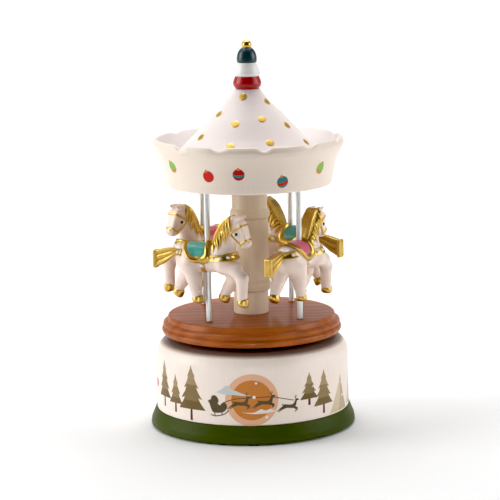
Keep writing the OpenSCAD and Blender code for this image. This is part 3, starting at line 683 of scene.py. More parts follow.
    for side in (-1, 1):
        for li, (a, b, c, rr, out_y) in enumerate(MANE_STRANDS):
            pts, rad = [], []
            for q in range(10):
                t = q / 9
                sx = (1 - t) ** 2 * a[0] + 2 * t * (1 - t) * b[0] + t * t * c[0]
                sz = (1 - t) ** 2 * a[1] + 2 * t * (1 - t) * b[1] + t * t * c[1]
                y = surf_t(sx, sz, side)
                if q < 2:
                    y *= 0.70 + 0.17 * q
                pts.append((sx, y + side * (0.42 + out_y - 0.20 * t), sz))
                rad.append(rr * (0.92 + 0.3 * math.sin(math.pi * min(t * 1.25, 1)) - 0.72 * t ** 2.2))
            # evaluate only near the strand
            i0 = max(0, int((min(p[0] for p in pts) - 3 - f.lo[0]) / f.h)); i1 = int((max(p[0] for p in pts) + 3 - f.lo[0]) / f.h)
            k0 = max(0, int((min(p[2] for p in pts) - 3 - f.lo[2]) / f.h)); k1 = int((max(p[2] for p in pts) + 3 - f.lo[2]) / f.h)
            sub = Field.__new__(Field)
            sub.S, sub.T, sub.Z = S[i0:i1, :, k0:k1], T[i0:i1, :, k0:k1], Z[i0:i1, :, k0:k1]
            d = sub.chain(pts, rad, 1.0, 0.15)
            mane[i0:i1, :, k0:k1] = smin(mane[i0:i1, :, k0:k1], d, 0.10)
    out["mane"] = smax(mane, -(D + 1.6), 0.3)

    # tail: a fanned slab, softly grooved, closed by a raised end band
    tx = [-33, -32.0, -29.0, -25.5, -22, -19, -16.4, -15]
    zt = np.interp(S, tx, [96.9, 97.0, 97.5, 98.4, 99.1, 99.2, 98.6, 98.2]).astype(np.float32)
    zl = np.interp(S, tx, [88.2, 88.2, 88.6, 90.4, 93.0, 94.9, 95.7, 96.0]).astype(np.float32)
    rel = (Z - zl) / np.maximum(zt - zl, 1)
    wave = (0.22 * np.cos(2 * np.pi * rel * 2.6 + 0.16 * (S + 32)) + 0.07 * np.cos(2 * np.pi * rel * 6.1 + 0.5 * S)) * np.clip((-17 - S) / 5, 0, 1) * np.clip((S + 30.2) / 1.2, 0, 1)
    half = np.interp(S, tx, [2.0, 2.0, 2.0, 1.95, 1.9, 1.75, 1.5, 1.2]).astype(np.float32)
    tail = smax(smax((Z - zt) * 0.92, (zl - Z) * 0.85, 0.9), aT - half + wave, 0.7)
    tail = smax(smax(tail, -31.6 - S, 0.6), S + 15.2, 0.4)
    end = smax(smax(np.abs(S + 31.15) - 1.15, np.abs(Z - 92.4) - 4.9, 0.8), aT - 2.3, 0.8)
    tail = smin(tail, end, 0.25)
    out["tail"] = np.where(S < -13, tail, 5.0)
    meshes = {k: surface_nets(np.ascontiguousarray(F), f.lo, h) for k, F in out.items()}

    # pearls and eyes sit on the surface
    def on_side(s, z, side, lift):
        return (s, surf_t(s, z, side) + side * lift, z)

    pearls = []
    for side in (-1, 1):
        for s, r in ((6.9, 1.05), (10.8, 1.05), (14.6, 1.05)):
            pearls.append((on_side(s, 95.3 + (s - 2) * 0.085, side, 0.5 if s < 12 else 0.65), r))
        pearls.append((on_side(-15.0, 97.4, side, 0.5), 1.05))
        pearls.append((on_side(-0.3, 91.5, side, 0.5), 1.0))
        pearls.append((on_side(-0.9, 88.0, side, 0.5), 0.85))
    eyes = [(on_side(18.9, 108.6, side, 0.12), 0.9) for side in (-1, 1)]
    return meshes, pearls, eyes


def balls(items, seg=20, rings=12):
    V, Fc = [], []
    for (c, r) in items:
        base = len(V)
        for i in range(rings + 1):
            ph = math.pi * i / rings
            for k in range(seg):
                th = 2 * math.pi * k / seg
                V.append((c[0] + r * math.sin(ph) * math.cos(th), c[1] + r * math.sin(ph) * math.sin(th), c[2] + r * math.cos(ph)))
        for i in range(rings):
            for k in range(seg):
                l = (k + 1) % seg
                Fc.append((base + i * seg + k, base + (i + 1) * seg + k, base + (i + 1) * seg + l, base + i * seg + l))
    return np.array(V), Fc


def relax(V, Q, rounds, lam=0.5):
    """A little smoothing that keeps volume (lambda-mu)."""
    n = len(V)
    e = np.concatenate([Q[:, [0, 1]], Q[:, [1, 2]], Q[:, [2, 3]], Q[:, [3, 0]]])
    e = np.concatenate([e, e[:, ::-1]])
    deg = np.bincount(e[:, 0], minlength=n).astype(float)
    for i in range(rounds * 2):
        w = lam if i % 2 == 0 else -lam * 1.04
        acc = np.stack([np.bincount(e[:, 0], weights=V[e[:, 1], a], minlength=n) for a in range(3)], 1)
        V = V + w * (acc / np.maximum(deg, 1)[:, None] - V)
    return V


h = 0.33
parts, pearls, eyes = horse_pieces(h)
HM = {}
for key, (V, Q) in parts.items():
    V = relax(V.astype(float), Q, 4 if key in ("body", "saddle", "hooves") else 2)
    me = bpy.data.meshes.new("horse_" + key)
    me.from_pydata([tuple(v) for v in V * MM], [], [tuple(int(i) for i in q) for q in Q])
    me.update()
    me.polygons.foreach_set("use_smooth", [True] * len(me.polygons))
    HM[key] = me
for key, items, seg in (("pearls", pearls, 24), ("eyes", eyes, 24)):
    V, Fc = balls(items, seg)
    me = bpy.data.meshes.new("horse_" + key)
    me.from_pydata([tuple(v) for v in V * MM], [], Fc)
    bm = bmesh.new(); bm.from_mesh(me)
    bmesh.ops.remove_doubles(bm, verts=bm.verts, dist=1e-8)
    bmesh.ops.recalc_face_normals(bm, faces=bm.faces)
    bm.to_mesh(me); bm.free()
    me.polygons.foreach_set("use_smooth", [True] * len(me.polygons))
    HM[key] = me
HORSE_MAT = {"body": "horse", "hooves": "gold_dark", "harness": "gold", "mane": "gold", "tail": "gold", "pearls": "pearl", "eyes": "eye"}
SADDLES = ["teal_saddle", "pink_saddle", "green_saddle", "rose_saddle"]
for key, mname in HORSE_MAT.items():
    HM[key].materials.append(M[mname])
saddle_meshes = [HM["saddle"]] + [HM["saddle"].copy() for _ in range(3)]
for me, mname in zip(saddle_meshes, SADDLES):
    me.materials.append(M[mname])
for k in range(4):
    a = math.radians(POLE_A[k])
    place = Matrix.Translation((POLE_R * MM * math.cos(a), POLE_R * MM * math.sin(a), 0)) @ Matrix.Rotation(a + math.radians(90 + YAW[k]), 4, "Z")
    for key in list(HORSE_MAT) + ["saddle"]:
        me = saddle_meshes[k] if key == "saddle" else HM[key]
        o = bpy.data.objects.new(f"horse_{k + 1}_{key}", me)
        bpy.context.scene.collection.objects.link(o)
        o.matrix_world = place
        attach(o, "carousel")
    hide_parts(f"horse_{k + 1}")

# --------------------------------------------------------------------- base
foot = lathe("foot_turning", fillet([(40, 7), (40, 3.9), (46.6, 3.9), (46.6, 0.6), (54.3, 0.6, 0.5), (55.0, 1.5, 0.8), (54.6, 4.4, 6), (52.9, 8.4, 4), (52.25, 10.0, 0.45), (48.1, 10.0, 0.1), (48.1, 7.0), (40, 7)], 5),
             M["green"], "base", 256, closed=False)
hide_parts("foot_ring")
drum = lathe("drum_turning", fillet(densify([(44, 40.5), (44, 7.1), (48, 7.1), (48, 10.02), (51.25, 10.02), (51.6, 10.35), (51.6, 39.2)], 1.6)
             + [(51.6 - 8.3 + 8.3 * math.cos(math.radians(t)), 39.2 + 8.3 * math.sin(math.radians(t))) for t in range(4, 91, 4)] + [(43.3, 47.5)]
             + densify([(43.3, 47.5), (5.6, 47.5)], 3)[1:] + [(4.0, 47.5), (4.0, 40.5), (44, 40.5)], 3), M["cream"], "base", 256)
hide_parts("base_drum")

# ---------------------------------------------------------------- turntable
tprof = fillet([(3.95, 49.8), (45.4, 49.8, 0.3), (47.3, 50.35, 1.2), (48.25, 52.1, 1.6), (48.0, 53.4, 0.9), (46.9, 54.0, 0.3), (47.45, 54.9, 0.8), (47.4, 56.1, 0.9), (46.2, 57.05, 0.6), (45.2, 57.25, 0.25),
                (44.95, 58.8, 0.6), (44.5, 60.0, 0.5), (43.7, 60.3, 0.4), (9.4, 60.3), (3.95, 60.3), (3.95, 49.8)], 7)
table = lathe("turntable_turning", tprof, M["wood"], "carousel", 288)
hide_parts("turntable")

cprof = fillet([(0, 60.33), (9.15, 60.33, 0.1), (9.32, 60.7, 0.2), (9.26, 71.9, 0.6), (9.2, 72.35, 0.2), (9.9, 72.5, 0.25), (10.65, 73.3, 0.8), (11.02, 75.6, 1.8), (10.55, 77.6, 1.2), (9.9, 78.6, 0.5), (9.76, 79.6, 1.0),
                (9.72, 110.7, 0.6), (9.62, 111.3, 0.2), (10.15, 111.5, 0.2), (10.68, 112.6, 0.8), (10.62, 114.8, 0.9), (9.95, 116.2, 0.5), (9.5, 116.9, 0.5), (9.45, 129.95), (0, 129.95)], 6)
col = lathe("column_turning", cprof, M["cream_column"], "carousel", 160)
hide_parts("column")

for k in range(4):
    a = math.radians(POLE_A[k])
    o = lathe(f"pole_rod_{k + 1}", fillet([(0, 52.8), (1.5, 52.8)] + [(1.5, z) for z in (60, 75, 100, 120, 130)] + [(1.5, 132.9, 0.2), (0, 132.9)], 3), M["pole"], "carousel", 48)
    o.matrix_world = Matrix.Translation((POLE_R * MM * math.cos(a), POLE_R * MM * math.sin(a), 0))
    bpy.context.view_layer.update()
    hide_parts(f"pole_{k + 1}")
    # glue fillet where the rod enters the turntable
    o2 = lathe(f"pole_seat_{k + 1}", fillet([(1.45, 60.28), (2.35, 60.28, 0.1), (2.05, 60.5, 0.3), (1.45, 60.85)], 4), M["wood"], "carousel", 40)
    o2.matrix_world = o.matrix_world.copy()

# ------------------------------------------------------------------- canopy
NOTCH_A = [math.radians(a - 90) for a in (9.5, 40.0, 70.5, 109.0, 149.0, 191.0, 233.0, 276.0, 315.3, 341.6)]
bowl_out = [(3.05, 130.0), (43.5, 130.0, 0.5), (44.35, 130.9, 0.8), (44.7, 134.0, 4), (45.4, 138.0, 6), (46.3, 141.6, 8), (47.5, 144.9, 8), (48.8, 147.6, 8), (50.15, 149.9, 3), (50.8, 152.0, 1.5), (50.5, 153.7, 1.0), (49.8, 154.8, 0.8), (49.0, 155.2, 0.5), (48.35, 154.6, 0.6),
            (47.2, 151.8, 4), (44.8, 147.4, 4), (42.2, 144.1, 0.6), (41.4, 143.6), (40.0, 142.7), (40.0, 134.0), (3.05, 134.0), (3.05, 130.0)]


def scallops(V, P):
    z = V[..., 2]
    th = np.arctan2(V[..., 1], V[..., 0])
    r = np.hypot(V[..., 0], V[..., 1])
    dip = np.zeros_like(z)
    for k, a in enumerate(NOTCH_A):
        d = (th - a + np.pi) % (2 * np.pi) - np.pi
        x = d * 50.0
        wv = 3.1 + 0.5 * math.sin(k * 2.3)
        dip += (1.7 + 0.25 * math.cos(k * 1.7)) * (0.75 if 3 <= k <= 7 else 1.0) * np.exp(-np.abs(x / wv) ** 2.6)
    wavy = 0.12 * np.sin(5 * th + 0.7) + 0.08 * np.sin(11 * th + 2.0)
    lift = np.clip((z - 149.0) / 5.5, 0, 1) ** 1.5 * (r > 43)
    V[..., 2] = z - (dip + wavy) * lift
    return V


bprof = fillet(bowl_out, 7)
bprof = densify(bprof, 1.3)
rim = max(range(len(bprof)), key=lambda i: bprof[i][1])
bowl = lathe("canopy_bowl_turning", bprof, M["cream_canopy"], "carousel", 720, shape=scallops,
             mats=[M["cream_canopy"], M["cream_bowl"]], mat_of=lambda i: 1 if i >= rim else 0)
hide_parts("canopy_bowl")
CONE = [(41.6, 144.3), (37.9, 147.6), (33.6, 151.6), (29.0, 156.1), (24.4, 161.0), (20.2, 165.4), (16.2, 169.3), (12.4, 173.2), (9.4, 176.6), (7.4, 179.4)]
cone_prof = fillet([(0, 148), (30, 148), (30, 142.75), (39.9, 142.75), (41.7, 143.9, 0.3)] + [(*p, 30) for p in CONE] + [(6.5, 180.55, 0.5), (0, 180.6)], 5)
cone = lathe("canopy_cone_turning", cone_prof, M["cream_cone"], "carousel", 256)
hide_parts("canopy_cone")

# ------------------------------------------------------------------- finial
fin = [
    ("finial_base", "red", "red_paint", [(0, 180.62), (5.3, 180.62, 0.2), (6.4, 181.0, 0.6), (7.3, 182.2, 1.0), (7.5, 183.6, 1.2), (7.1, 185.2, 1.4), (6.6, 186.4, 0.8), (6.35, 187.2, 0.15), (0, 187.2)]),
    ("finial_bell", "white", "white_paint", [(0, 187.25), (6.2, 187.25, 0.15), (6.75, 187.7, 0.4), (6.98, 188.7, 0.7), (6.7, 190.3, 1.2), (6.0, 192.2, 1.4), (5.35, 193.4, 0.3), (5.12, 193.75, 0.15), (5.3, 194.05, 0.12), (5.15, 194.4, 0.1), (0, 194.4)]),
    ("finial_cap", "teal", "teal_paint", [(0, 194.45), (5.0, 194.45, 0.2), (5.3, 195.4, 0.6), (5.3, 197.0, 1.6), (4.95, 198.9, 1.8), (4.3, 200.4, 1.6), (3.3, 201.6, 1.2), (2.5, 202.15, 0.4), (1.6, 202.5, 0.2), (0, 202.6)]),
]
for node, m, slot, pr in fin:
    o = lathe(node + "_turning", fillet(pr, 6), M[m], "carousel", 128)
    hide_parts(node)
ball = lathe("finial_ball_turning", [(2.65 * math.sin(math.radians(t)), 203.6 - 2.65 * math.cos(math.radians(t))) for t in np.linspace(0, 180, 37)], M["gold_ball"], "carousel", 72)
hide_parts("finial_ball")

# ------------------------------------------------------------ printed scenes


def on_drum(off):
    return lambda u, v: ((51.6 + off) * math.sin(u / 51.1), -(51.6 + off) * math.cos(u / 51.1), v)


def ang(a):
    return math.radians(a) * 51.1


P_TREE = [[print_mat("print_tree_dark", srgb(116, 96, 56), srgb(104, 84, 44)), print_mat("print_tree_mid", srgb(140, 119, 80), srgb(128, 106, 68)), print_mat("print_tree_top", srgb(164, 142, 106), srgb(154, 131, 94))],
          [print_mat("print_tree_dark_2", srgb(122, 102, 62), srgb(110, 90, 50)), print_mat("print_tree_mid_2", srgb(148, 127, 88), srgb(136, 114, 76)), print_mat("print_tree_top_2", srgb(172, 150, 114), srgb(162, 139, 102))]]
P_TRUNK = print_mat("print_trunk", srgb(112, 46, 34), srgb(88, 34, 26))
P_HALO = print_mat("print_halo", srgb(232, 184, 150), srgb(226, 174, 138))
P_MOON = print_mat("print_moon", srgb(204, 130, 56), srgb(196, 120, 46))
P_CLOUD = print_mat("print_cloud", srgb(208, 212, 208), srgb(196, 202, 200))
P_CLOUD2 = print_mat("print_cloud_warm", srgb(240, 232, 224), srgb(230, 220, 210))
P_DEER = print_mat("print_deer", srgb(96, 84, 58), srgb(84, 72, 48))
P_SNOW = print_mat("print_snow", srgb(244, 244, 242), srgb(232, 232, 232))
P_ROCK = print_mat("print_peak", srgb(214, 196, 164), srgb(204, 184, 150))
P_ROCK2 = print_mat("print_peak_shade", srgb(190, 174, 148), srgb(178, 162, 136))
P_RED = print_mat("print_red", srgb(202, 70, 66), srgb(190, 54, 54))


def disc(cu, cv, r, n=48, sq=1.0):
    return [(cu + r * math.cos(2 * math.pi * k / n), cv + sq * r * math.sin(2 * math.pi * k / n)) for k in range(n)]


def stroke(pts, widths):
    """A tapering stroke as one outline."""
    L, R = [], []
    for i, p in enumerate(pts):
        a = np.array(pts[max(i - 1, 0)]); b = np.array(pts[min(i + 1, len(pts) - 1)])
        t = (b - a) / np.linalg.norm(b - a)
        nrm = np.array([-t[1], t[0]]) * widths[i] / 2
        L.append(tuple(np.array(p) + nrm)); R.append(tuple(np.array(p) - nrm))
    return L + R[::-1]


def curve(pts, n=8):
    """Catmull-Rom through the points."""
    P = [np.array(p, float) for p in pts]
    P = [2 * P[0] - P[1]] + P + [2 * P[-1] - P[-2]]
    out = []
    for i in range(1, len(P) - 2):
        for k in range(n):
            t = k / n
            out.append(tuple(0.5 * (2 * P[i] + (P[i + 1] - P[i - 1]) * t + (2 * P[i - 1] - 5 * P[i] + 4 * P[i + 1] - P[i + 2]) * t * t + (3 * P[i] - P[i - 1] - 3 * P[i + 1] + P[i + 2]) * t ** 3)))
    out.append(tuple(P[-2]))
    return out


def fir(cu, tip, base, w, tiers=3):
    """A stepped fir: each tier sweeps out to a point and steps back in."""
    right = [(0.0, tip)]
    H = tip - base
    for i in range(tiers):
        z1 = tip - H * (i + 1) / tiers * (0.97 if i < tiers - 1 else 1.0)
        z1 = tip - H * ((i + 1) / tiers) ** 0.93
        zprev = right[-1][1]
        out = w / 2 * ((i + 1) / tiers) ** 0.85
        x0 = right[-1][0]
        for t in (0.35, 0.7):
            right.append((x0 + (out - x0) * t ** 1.35, zprev + (z1 - zprev) * t))
        right.append((out, z1))
        if i < tiers - 1:
            right.append((out * 0.66, z1 + H * 0.028))
    left = [(-x * (1.0 if j % 3 else 0.97), z - (0.0 if j == 0 else 0.25 * (j % 2))) for j, (x, z) in enumerate(right)]
    return [(cu + x, z) for x, z in right] + [(cu + x, z) for x, z in reversed(left[1:])]


def clip_z(loop, z, sign):
    """The part of an outline above (sign 1) or below (sign -1) a level."""
    out = []
    for a, b in zip(loop, loop[1:] + loop[:1]):
        ia, ib = sign * (a[1] - z) >= 0, sign * (b[1] - z) >= 0
        if ia:
            out.append(a)
        if ia != ib:
            t = (z - a[1]) / (b[1] - a[1])
            out.append((a[0] + t * (b[0] - a[0]), z))
    return out


def fir_set(tag, cu, tip, base, foot_z, w, tiers, tone):
    shape = fir(cu, tip, base, w, tiers)
    cuts = [base + 0.19 * (tip - base), base + 0.55 * (tip - base)]
    for i, (name, lo, hi) in enumerate((("base", -1e3, cuts[0]), ("middle", cuts[0], cuts[1]), ("top", cuts[1], 1e3))):
        wrapped(f"print_fir_{tag}_{name}", [clip_z(clip_z(shape, lo, 1), hi, -1)], on_drum(0.035), P_TREE[tone][i], "base", 1.6)
    wrapped(f"print_trunk_{tag}", [[(cu - 0.65, base + 0.3), (cu - 0.8, foot_z), (cu + 0.8, foot_z), (cu + 0.65, base + 0.3)]], on_drum(0.03), P_TRUNK, "base", 1.6)


fir_set("a", ang(-64.6), 40.2, 19.9, 14.6, 13.8, 4, 0)
fir_set("b", ang(-52.0), 34.3, 18.5, 13.5, 11.2, 3, 1)
fir_set("c", ang(-38.7), 40.6, 17.0, 11.0, 18.0, 4, 0)
fir_set("d", ang(34.8), 36.2, 22.0, 18.5, 11.8, 4, 0)
fir_set("e", ang(46.1), 36.3, 17.3, 12.5, 14.8, 4, 1)
wrapped("print_halo_disc", [disc(-0.65, 23.7, 13.85, 96)], on_drum(0.02), P_HALO, "base", 1.5)
wrapped("print_moon_disc", [disc(-0.65, 23.7, 10.6, 96)], on_drum(0.04), P_MOON, "base", 1.5)
cloud1 = curve([(-19.3, 27.6), (-16.6, 29.2), (-14.2, 31.0), (-12.4, 31.2), (-11.0, 29.6), (-8.6, 28.6), (-5.2, 27.2), (-1.0, 26.0)], 5) + curve([(-5.6, 26.0), (-10.5, 26.5), (-15.0, 26.5)], 4)
wrapped("print_cloud_upper", [cloud1], on_drum(0.06), P_CLOUD, "base", 1.2)
cloud2 = curve([(-6.3, 17.3), (-3.0, 17.1), (0.4, 17.2), (2.6, 18.2), (4.3, 18.9), (5.6, 18.3), (7.2, 18.3), (8.7, 18.8), (10.2, 18.2), (13.0, 17.6)], 5) + curve([(9.6, 17.1), (5.8, 16.5), (1.8, 16.3), (-2.6, 16.7)], 4)
wrapped("print_cloud_lower", [cloud2], on_drum(0.06), P_CLOUD2, "base", 1.2)


def deer(tag, u, v, s=1.0, rot=0.0):
    """A plain leaping deer, facing right, about 13 mm long."""
    body = curve([(-4.6, 0.9), (-3.6, 1.7), (-1.8, 1.55), (0.4, 1.5), (2.0, 1.95), (2.9, 3.4), (3.4, 4.7), (4.3, 5.2), (5.7, 4.7), (5.8, 4.2), (4.6, 3.8), (4.2, 2.6), (3.9, 1.0), (3.0, -0.5), (0.6, -0.75), (-1.8, -0.55), (-3.8, -0.9), (-4.8, -0.3), (-4.6, 0.9)], 4)[:-1]
    loops = [body,
             stroke(curve([(-3.7, 0.3), (-5.9, -1.0), (-8.2, -2.9)], 4), np.linspace(1.5, 0.35, 9)),
             stroke(curve([(-3.0, -0.3), (-4.9, -1.3), (-6.9, -3.1)], 4), np.linspace(1.2, 0.35, 9)),
             stroke(curve([(3.0, -0.2), (4.9, -0.8), (4.6, -2.6)], 4), np.linspace(1.2, 0.4, 9)),
             stroke(curve([(2.6, -0.4), (4.2, -1.4), (3.4, -3.2)], 4), np.linspace(1.1, 0.4, 9)),
             stroke(curve([(3.6, 4.9), (3.0, 6.2), (3.5, 7.4)], 4), np.linspace(0.5, 0.25, 9)),
             stroke(curve([(3.3, 5.9), (4.0, 6.6), (4.3, 7.3)], 4), np.linspace(0.45, 0.2, 9)),
             stroke(curve([(-4.4, 1.2), (-5.2, 1.9)], 3), np.linspace(0.9, 0.4, 4))]
    c, sn = math.cos(math.radians(rot)), math.sin(math.radians(rot))
    for i, lp in enumerate(loops):
        loops[i] = [(u + s * (c * x - sn * y), v + s * (sn * x + c * y)) for x, y in lp]
    wrapped(f"print_deer_{tag}", loops, on_drum(0.085), P_DEER, "base", 1.2)


deer("a", -6.1, 21.5, 0.86)
deer("b", 6.6, 21.9, 0.86, -1)
deer("c", 19.4, 19.0, 0.86, -4)
sleigh = curve([(-24.2, 22.6), (-23.2, 21.2), (-22.3, 18.6), (-21.2, 16.9), (-18.4, 16.6), (-15.6, 17.2), (-13.9, 18.8), (-13.6, 20.6), (-14.6, 22.2), (-16.4, 21.8), (-17.2, 20.7), (-18.6, 21.6), (-20.2, 23.4), (-22.4, 23.6), (-24.2, 22.6)], 5)[:-1]
sack = curve([(-21.8, 22.6), (-22.3, 24.4), (-21.2, 25.8), (-19.6, 25.6), (-18.4, 24.2), (-18.2, 22.2), (-19.8, 21.6), (-21.8, 22.6)], 5)[:-1]
runner = stroke(curve([(-22.6, 15.6), (-20.6, 14.9), (-17.4, 15.3), (-14.6, 16.4), (-12.7, 18.3)], 6), np.full(25, 0.5))
struts = [stroke([(-20.4, 16.9), (-20.2, 15.2)], [0.5, 0.5]), stroke([(-16.4, 17.2), (-16.2, 15.8)], [0.5, 0.5])]
wrapped("print_sleigh", [sleigh, sack, runner] + struts, on_drum(0.085), P_DEER, "base", 1.2)
wrapped("print_reins", [stroke(curve([(-15.6, 22.2), (-9.8, 24.2), (-3.4, 24.9), (3.0, 25.2), (9.4, 25.2), (15.2, 24.0), (21.6, 22.4)], 6), np.full(37, 0.42))], on_drum(0.095), P_DEER, "base", 1.2)
snow = [(1.7, 32.7, 0.6), (0.6, 25.3, 0.85), (7.0, 14.5, 0.75), (27.2, 31.7, 0.3), (-30, 30, 0.3), (33, 28, 0.3), (58.4, 25.6, 0.7), (59.2, 18.6, 0.8)]
wrapped("print_snow_dots", [disc(u, v, r, 16) for u, v, r in snow], on_drum(0.11), P_SNOW, "base", 1.2)
wrapped("print_peak_left", [[(ang(63.4), 30.6), (ang(62.1), 26.5), (ang(56.7), 18.0), (ang(51.8), 11.0), (ang(61.6), 11.0), (ang(63.3), 19.0)]], on_drum(0.03), P_ROCK, "base", 1.5)
wrapped("print_peak_right", [[(ang(63.4), 30.6), (ang(63.3), 19.0), (ang(61.6), 11.0), (ang(72.6), 11.0), (ang(67.9), 19.0), (ang(65.3), 26.0)]], on_drum(0.03), P_ROCK2, "base", 1.5)
wrapped("print_peak2_left", [[(ang(82.4), 27.4), (ang(79.0), 19.5), (ang(74.8), 12.0), (ang(82.0), 12.0), (ang(82.6), 19.0)]], on_drum(0.03), P_ROCK, "base", 1.5)
wrapped("print_peak2_right", [[(ang(82.4), 27.4), (ang(82.6), 19.0), (ang(82.0), 12.0), (ang(91.0), 12.0), (ang(86.5), 20.0)]], on_drum(0.03), P_ROCK2, "base", 1.5)
wrapped("print_red_bauble", [disc(ang(-79.6), 24.9, 2.5, 28)], on_drum(0.03), P_RED, "base", 1.2)

# round the back: the same kind of scene, set out afresh
back = [("f", 104, 35.0, 17.5, 12.4, 14.0, 3, 0), ("g", 118, 30.5, 17.0, 12.6, 10.0, 3, 1), ("h", 134, 38.0, 17.2, 11.5, 16.5, 4, 0), ("i", 152, 33.5, 18.2, 13.0, 12.0, 3, 1),
        ("j", 206, 37.4, 17.4, 11.6, 15.5, 3, 0), ("k", 220, 31.5, 17.6, 12.6, 10.5, 3, 1), ("l", 236, 36.2, 17.2, 11.8, 14.0, 4, 0), ("m", 262, 32.0, 18.4, 13.2, 10.5, 3, 0)]
for tag, a, tip, base, fz, w, tr, tone in back:
    fir_set(tag, ang(a), tip, base, fz, w, tr, tone)
hill = [(ang(180 + t), 14.2 + 4.2 * math.exp(-(t / 13.0) ** 2) + 0.8 * math.cos(t * 0.45)) for t in np.linspace(-27, 27, 40)]
wrapped("print_snow_hill", [hill + [(ang(207), 11.4), (ang(153), 11.4)]], on_drum(0.02), P_ROCK, "base", 1.6)
wrapped("print_cabin_wall", [[(ang(180) - 5.2, 18.0), (ang(180) - 5.2, 23.6), (ang(180), 27.6), (ang(180) + 5.2, 23.6), (ang(180) + 5.2, 18.0)]], on_drum(0.05), P_TRUNK, "base", 1.5)
wrapped("print_cabin_roof", [[(ang(180) - 7.0, 23.0), (ang(180), 29.6), (ang(180) + 7.0, 23.0), (ang(180) + 6.2, 22.2), (ang(180), 27.9), (ang(180) - 6.2, 22.2)]], on_drum(0.07), P_CLOUD, "base", 1.5)
wrapped("print_cabin_door", [[(ang(180) - 1.2, 18.0), (ang(180) - 1.2, 21.6), (ang(180) + 1.2, 21.6), (ang(180) + 1.2, 18.0)], [(ang(180) - 4.2, 20.2), (ang(180) - 4.2, 22.0), (ang(180) - 2.6, 22.0), (ang(180) - 2.6, 20.2)], [(ang(180) + 2.6, 20.2), (ang(180) + 2.6, 22.0), (ang(180) + 4.2, 22.0), (ang(180) + 4.2, 20.2)]], on_drum(0.07), P_MOON, "base", 1.5)
wrapped("print_back_snow", [disc(ang(a), z, r, 14) for a, z, r in [(96, 33, 0.45), (111, 36, 0.35), (126, 33, 0.5), (143, 30, 0.4), (160, 35, 0.5), (171, 31, 0.35), (188, 36, 0.5), (197, 31.5, 0.4), (213, 34, 0.35), (228, 31, 0.5), (247, 34, 0.4), (255, 28, 0.35), (273, 34, 0.4)]], on_drum(0.05), P_CLOUD, "base", 1.2)

# ------------------------------------------------------ baubles on the canopy
outer = [p for p in bprof[: next(i for i, p in enumerate(bprof) if p[1] > 153.0)] if p[0] > 43.2]
oz = np.array([p[1] for p in outer]); orr = np.array([p[0] for p in outer])


def on_bowl(a0, z0, tilt, off):
    c, s = math.cos(math.radians(tilt)), math.sin(math.radians(tilt))
    a = math.radians(a0)

    def f(u, v):
        x, y = c * u - s * v, s * u + c * v
        z = z0 + y
        r = float(np.interp(z, oz, orr)) + off
        t = a + x / r
        return (r * math.sin(t), -r * math.cos(t), z)
    return f


B_COL = {"red": print_mat("bauble_red", srgb(216, 44, 34), srgb(202, 32, 26)), "deep": print_mat("bauble_deep_red", srgb(182, 12, 16), srgb(162, 6, 10)),
         "teal": print_mat("bauble_teal", srgb(58, 134, 136), srgb(46, 118, 122)), "green": print_mat("bauble_green", srgb(134, 196, 84), srgb(116, 180, 70)), "orange": print_mat("bauble_orange", srgb(232, 118, 54), srgb(220, 102, 42)),
         "cap": print_mat("bauble_cap", srgb(226, 140, 52), srgb(212, 124, 40))}


def bauble(tag, a0, z0, tilt, base_c, stripe_c):
    wrapped(f"bauble_{tag}_ball", [disc(0, 0, 3.1, 44)], on_bowl(a0, z0, tilt, 0.035), B_COL[base_c], "carousel", 1.2)
    wrapped(f"bauble_{tag}_cap", [[(-0.85, 2.35), (-0.8, 3.2), (-0.3, 3.75), (0.3, 3.75), (0.8, 3.2), (0.85, 2.35)]], on_bowl(a0, z0, tilt, 0.05), B_COL["cap"], "carousel", 1.2)
    if stripe_c:
        x = np.linspace(-1, 1, 15)
        drop, tall = (1.0, 0.25) if base_c == "green" else (0.0, 0.0) if base_c == "deep" else (0.1, 0.35)
        lo = [(3.0 * t, -0.65 - drop - tall - (1.05 - 0.4 * drop) * (1 - t * t)) for t in x]
        up = [(3.06 * t, 0.30 - drop - 0.65 * (1 - t * t)) for t in x]
        lo = [(math.copysign(min(abs(u), math.sqrt(max(3.08 ** 2 - v * v, 0.01))), u), v) for u, v in lo]
        up = [(math.copysign(min(abs(u), math.sqrt(max(3.08 ** 2 - v * v, 0.01))), u), v) for u, v in up]
        wrapped(f"bauble_{tag}_stripe", [lo + up[::-1]], on_bowl(a0, z0, tilt, 0.055), B_COL[stripe_c], "carousel", 1.2)


BAUBLES = [(-57.9, 142.8, 18, "green", "orange"), (-27.1, 139.6, 18, "red", None), (-6.6, 140.9, 0, "deep", "teal"), (22.5, 136.3, 16, "teal", "red"), (53.3, 141.2, -20, "green", "orange"),
           (98, 139.0, 12, "red", None), (121, 140.4, -10, "deep", "teal"), (143, 141.8, 18, "green", "orange"), (165, 138.8, -14, "teal", "deep"), (188, 141.4, 10, "red", None),
           (210, 139.2, -18, "deep", "teal"), (236, 141.6, 14, "green", "orange"), (264, 139.4, -8, "teal", "deep")]
for i, (a0, z0, tilt, b, s) in enumerate(BAUBLES):
    bauble(f"{i + 1:02d}", a0, z0, tilt, b, s)

# --------------------------------------------------------- gold dots on cone
cz = np.array([p[1] for p in CONE]); cr = np.array([p[0] for p in CONE])


def on_cone(a0, z0, off):
    r0 = float(np.interp(z0, cz, cr))
    dz = 0.5
    slope = (np.interp(z0 + dz, cz, cr) - np.interp(z0 - dz, cz, cr)) / (2 * dz)
    L = math.hypot(1, slope)
    a = math.radians(a0)

    def f(u, v):
        z = z0 + v / L
        r = float(np.interp(z, cz, cr))
        t = a + u / r0
        nr, nz = 1 / L, -slope / L
        return ((r + off * nr) * math.sin(t), -(r + off * nr) * math.cos(t), z + off * nz)
    return f


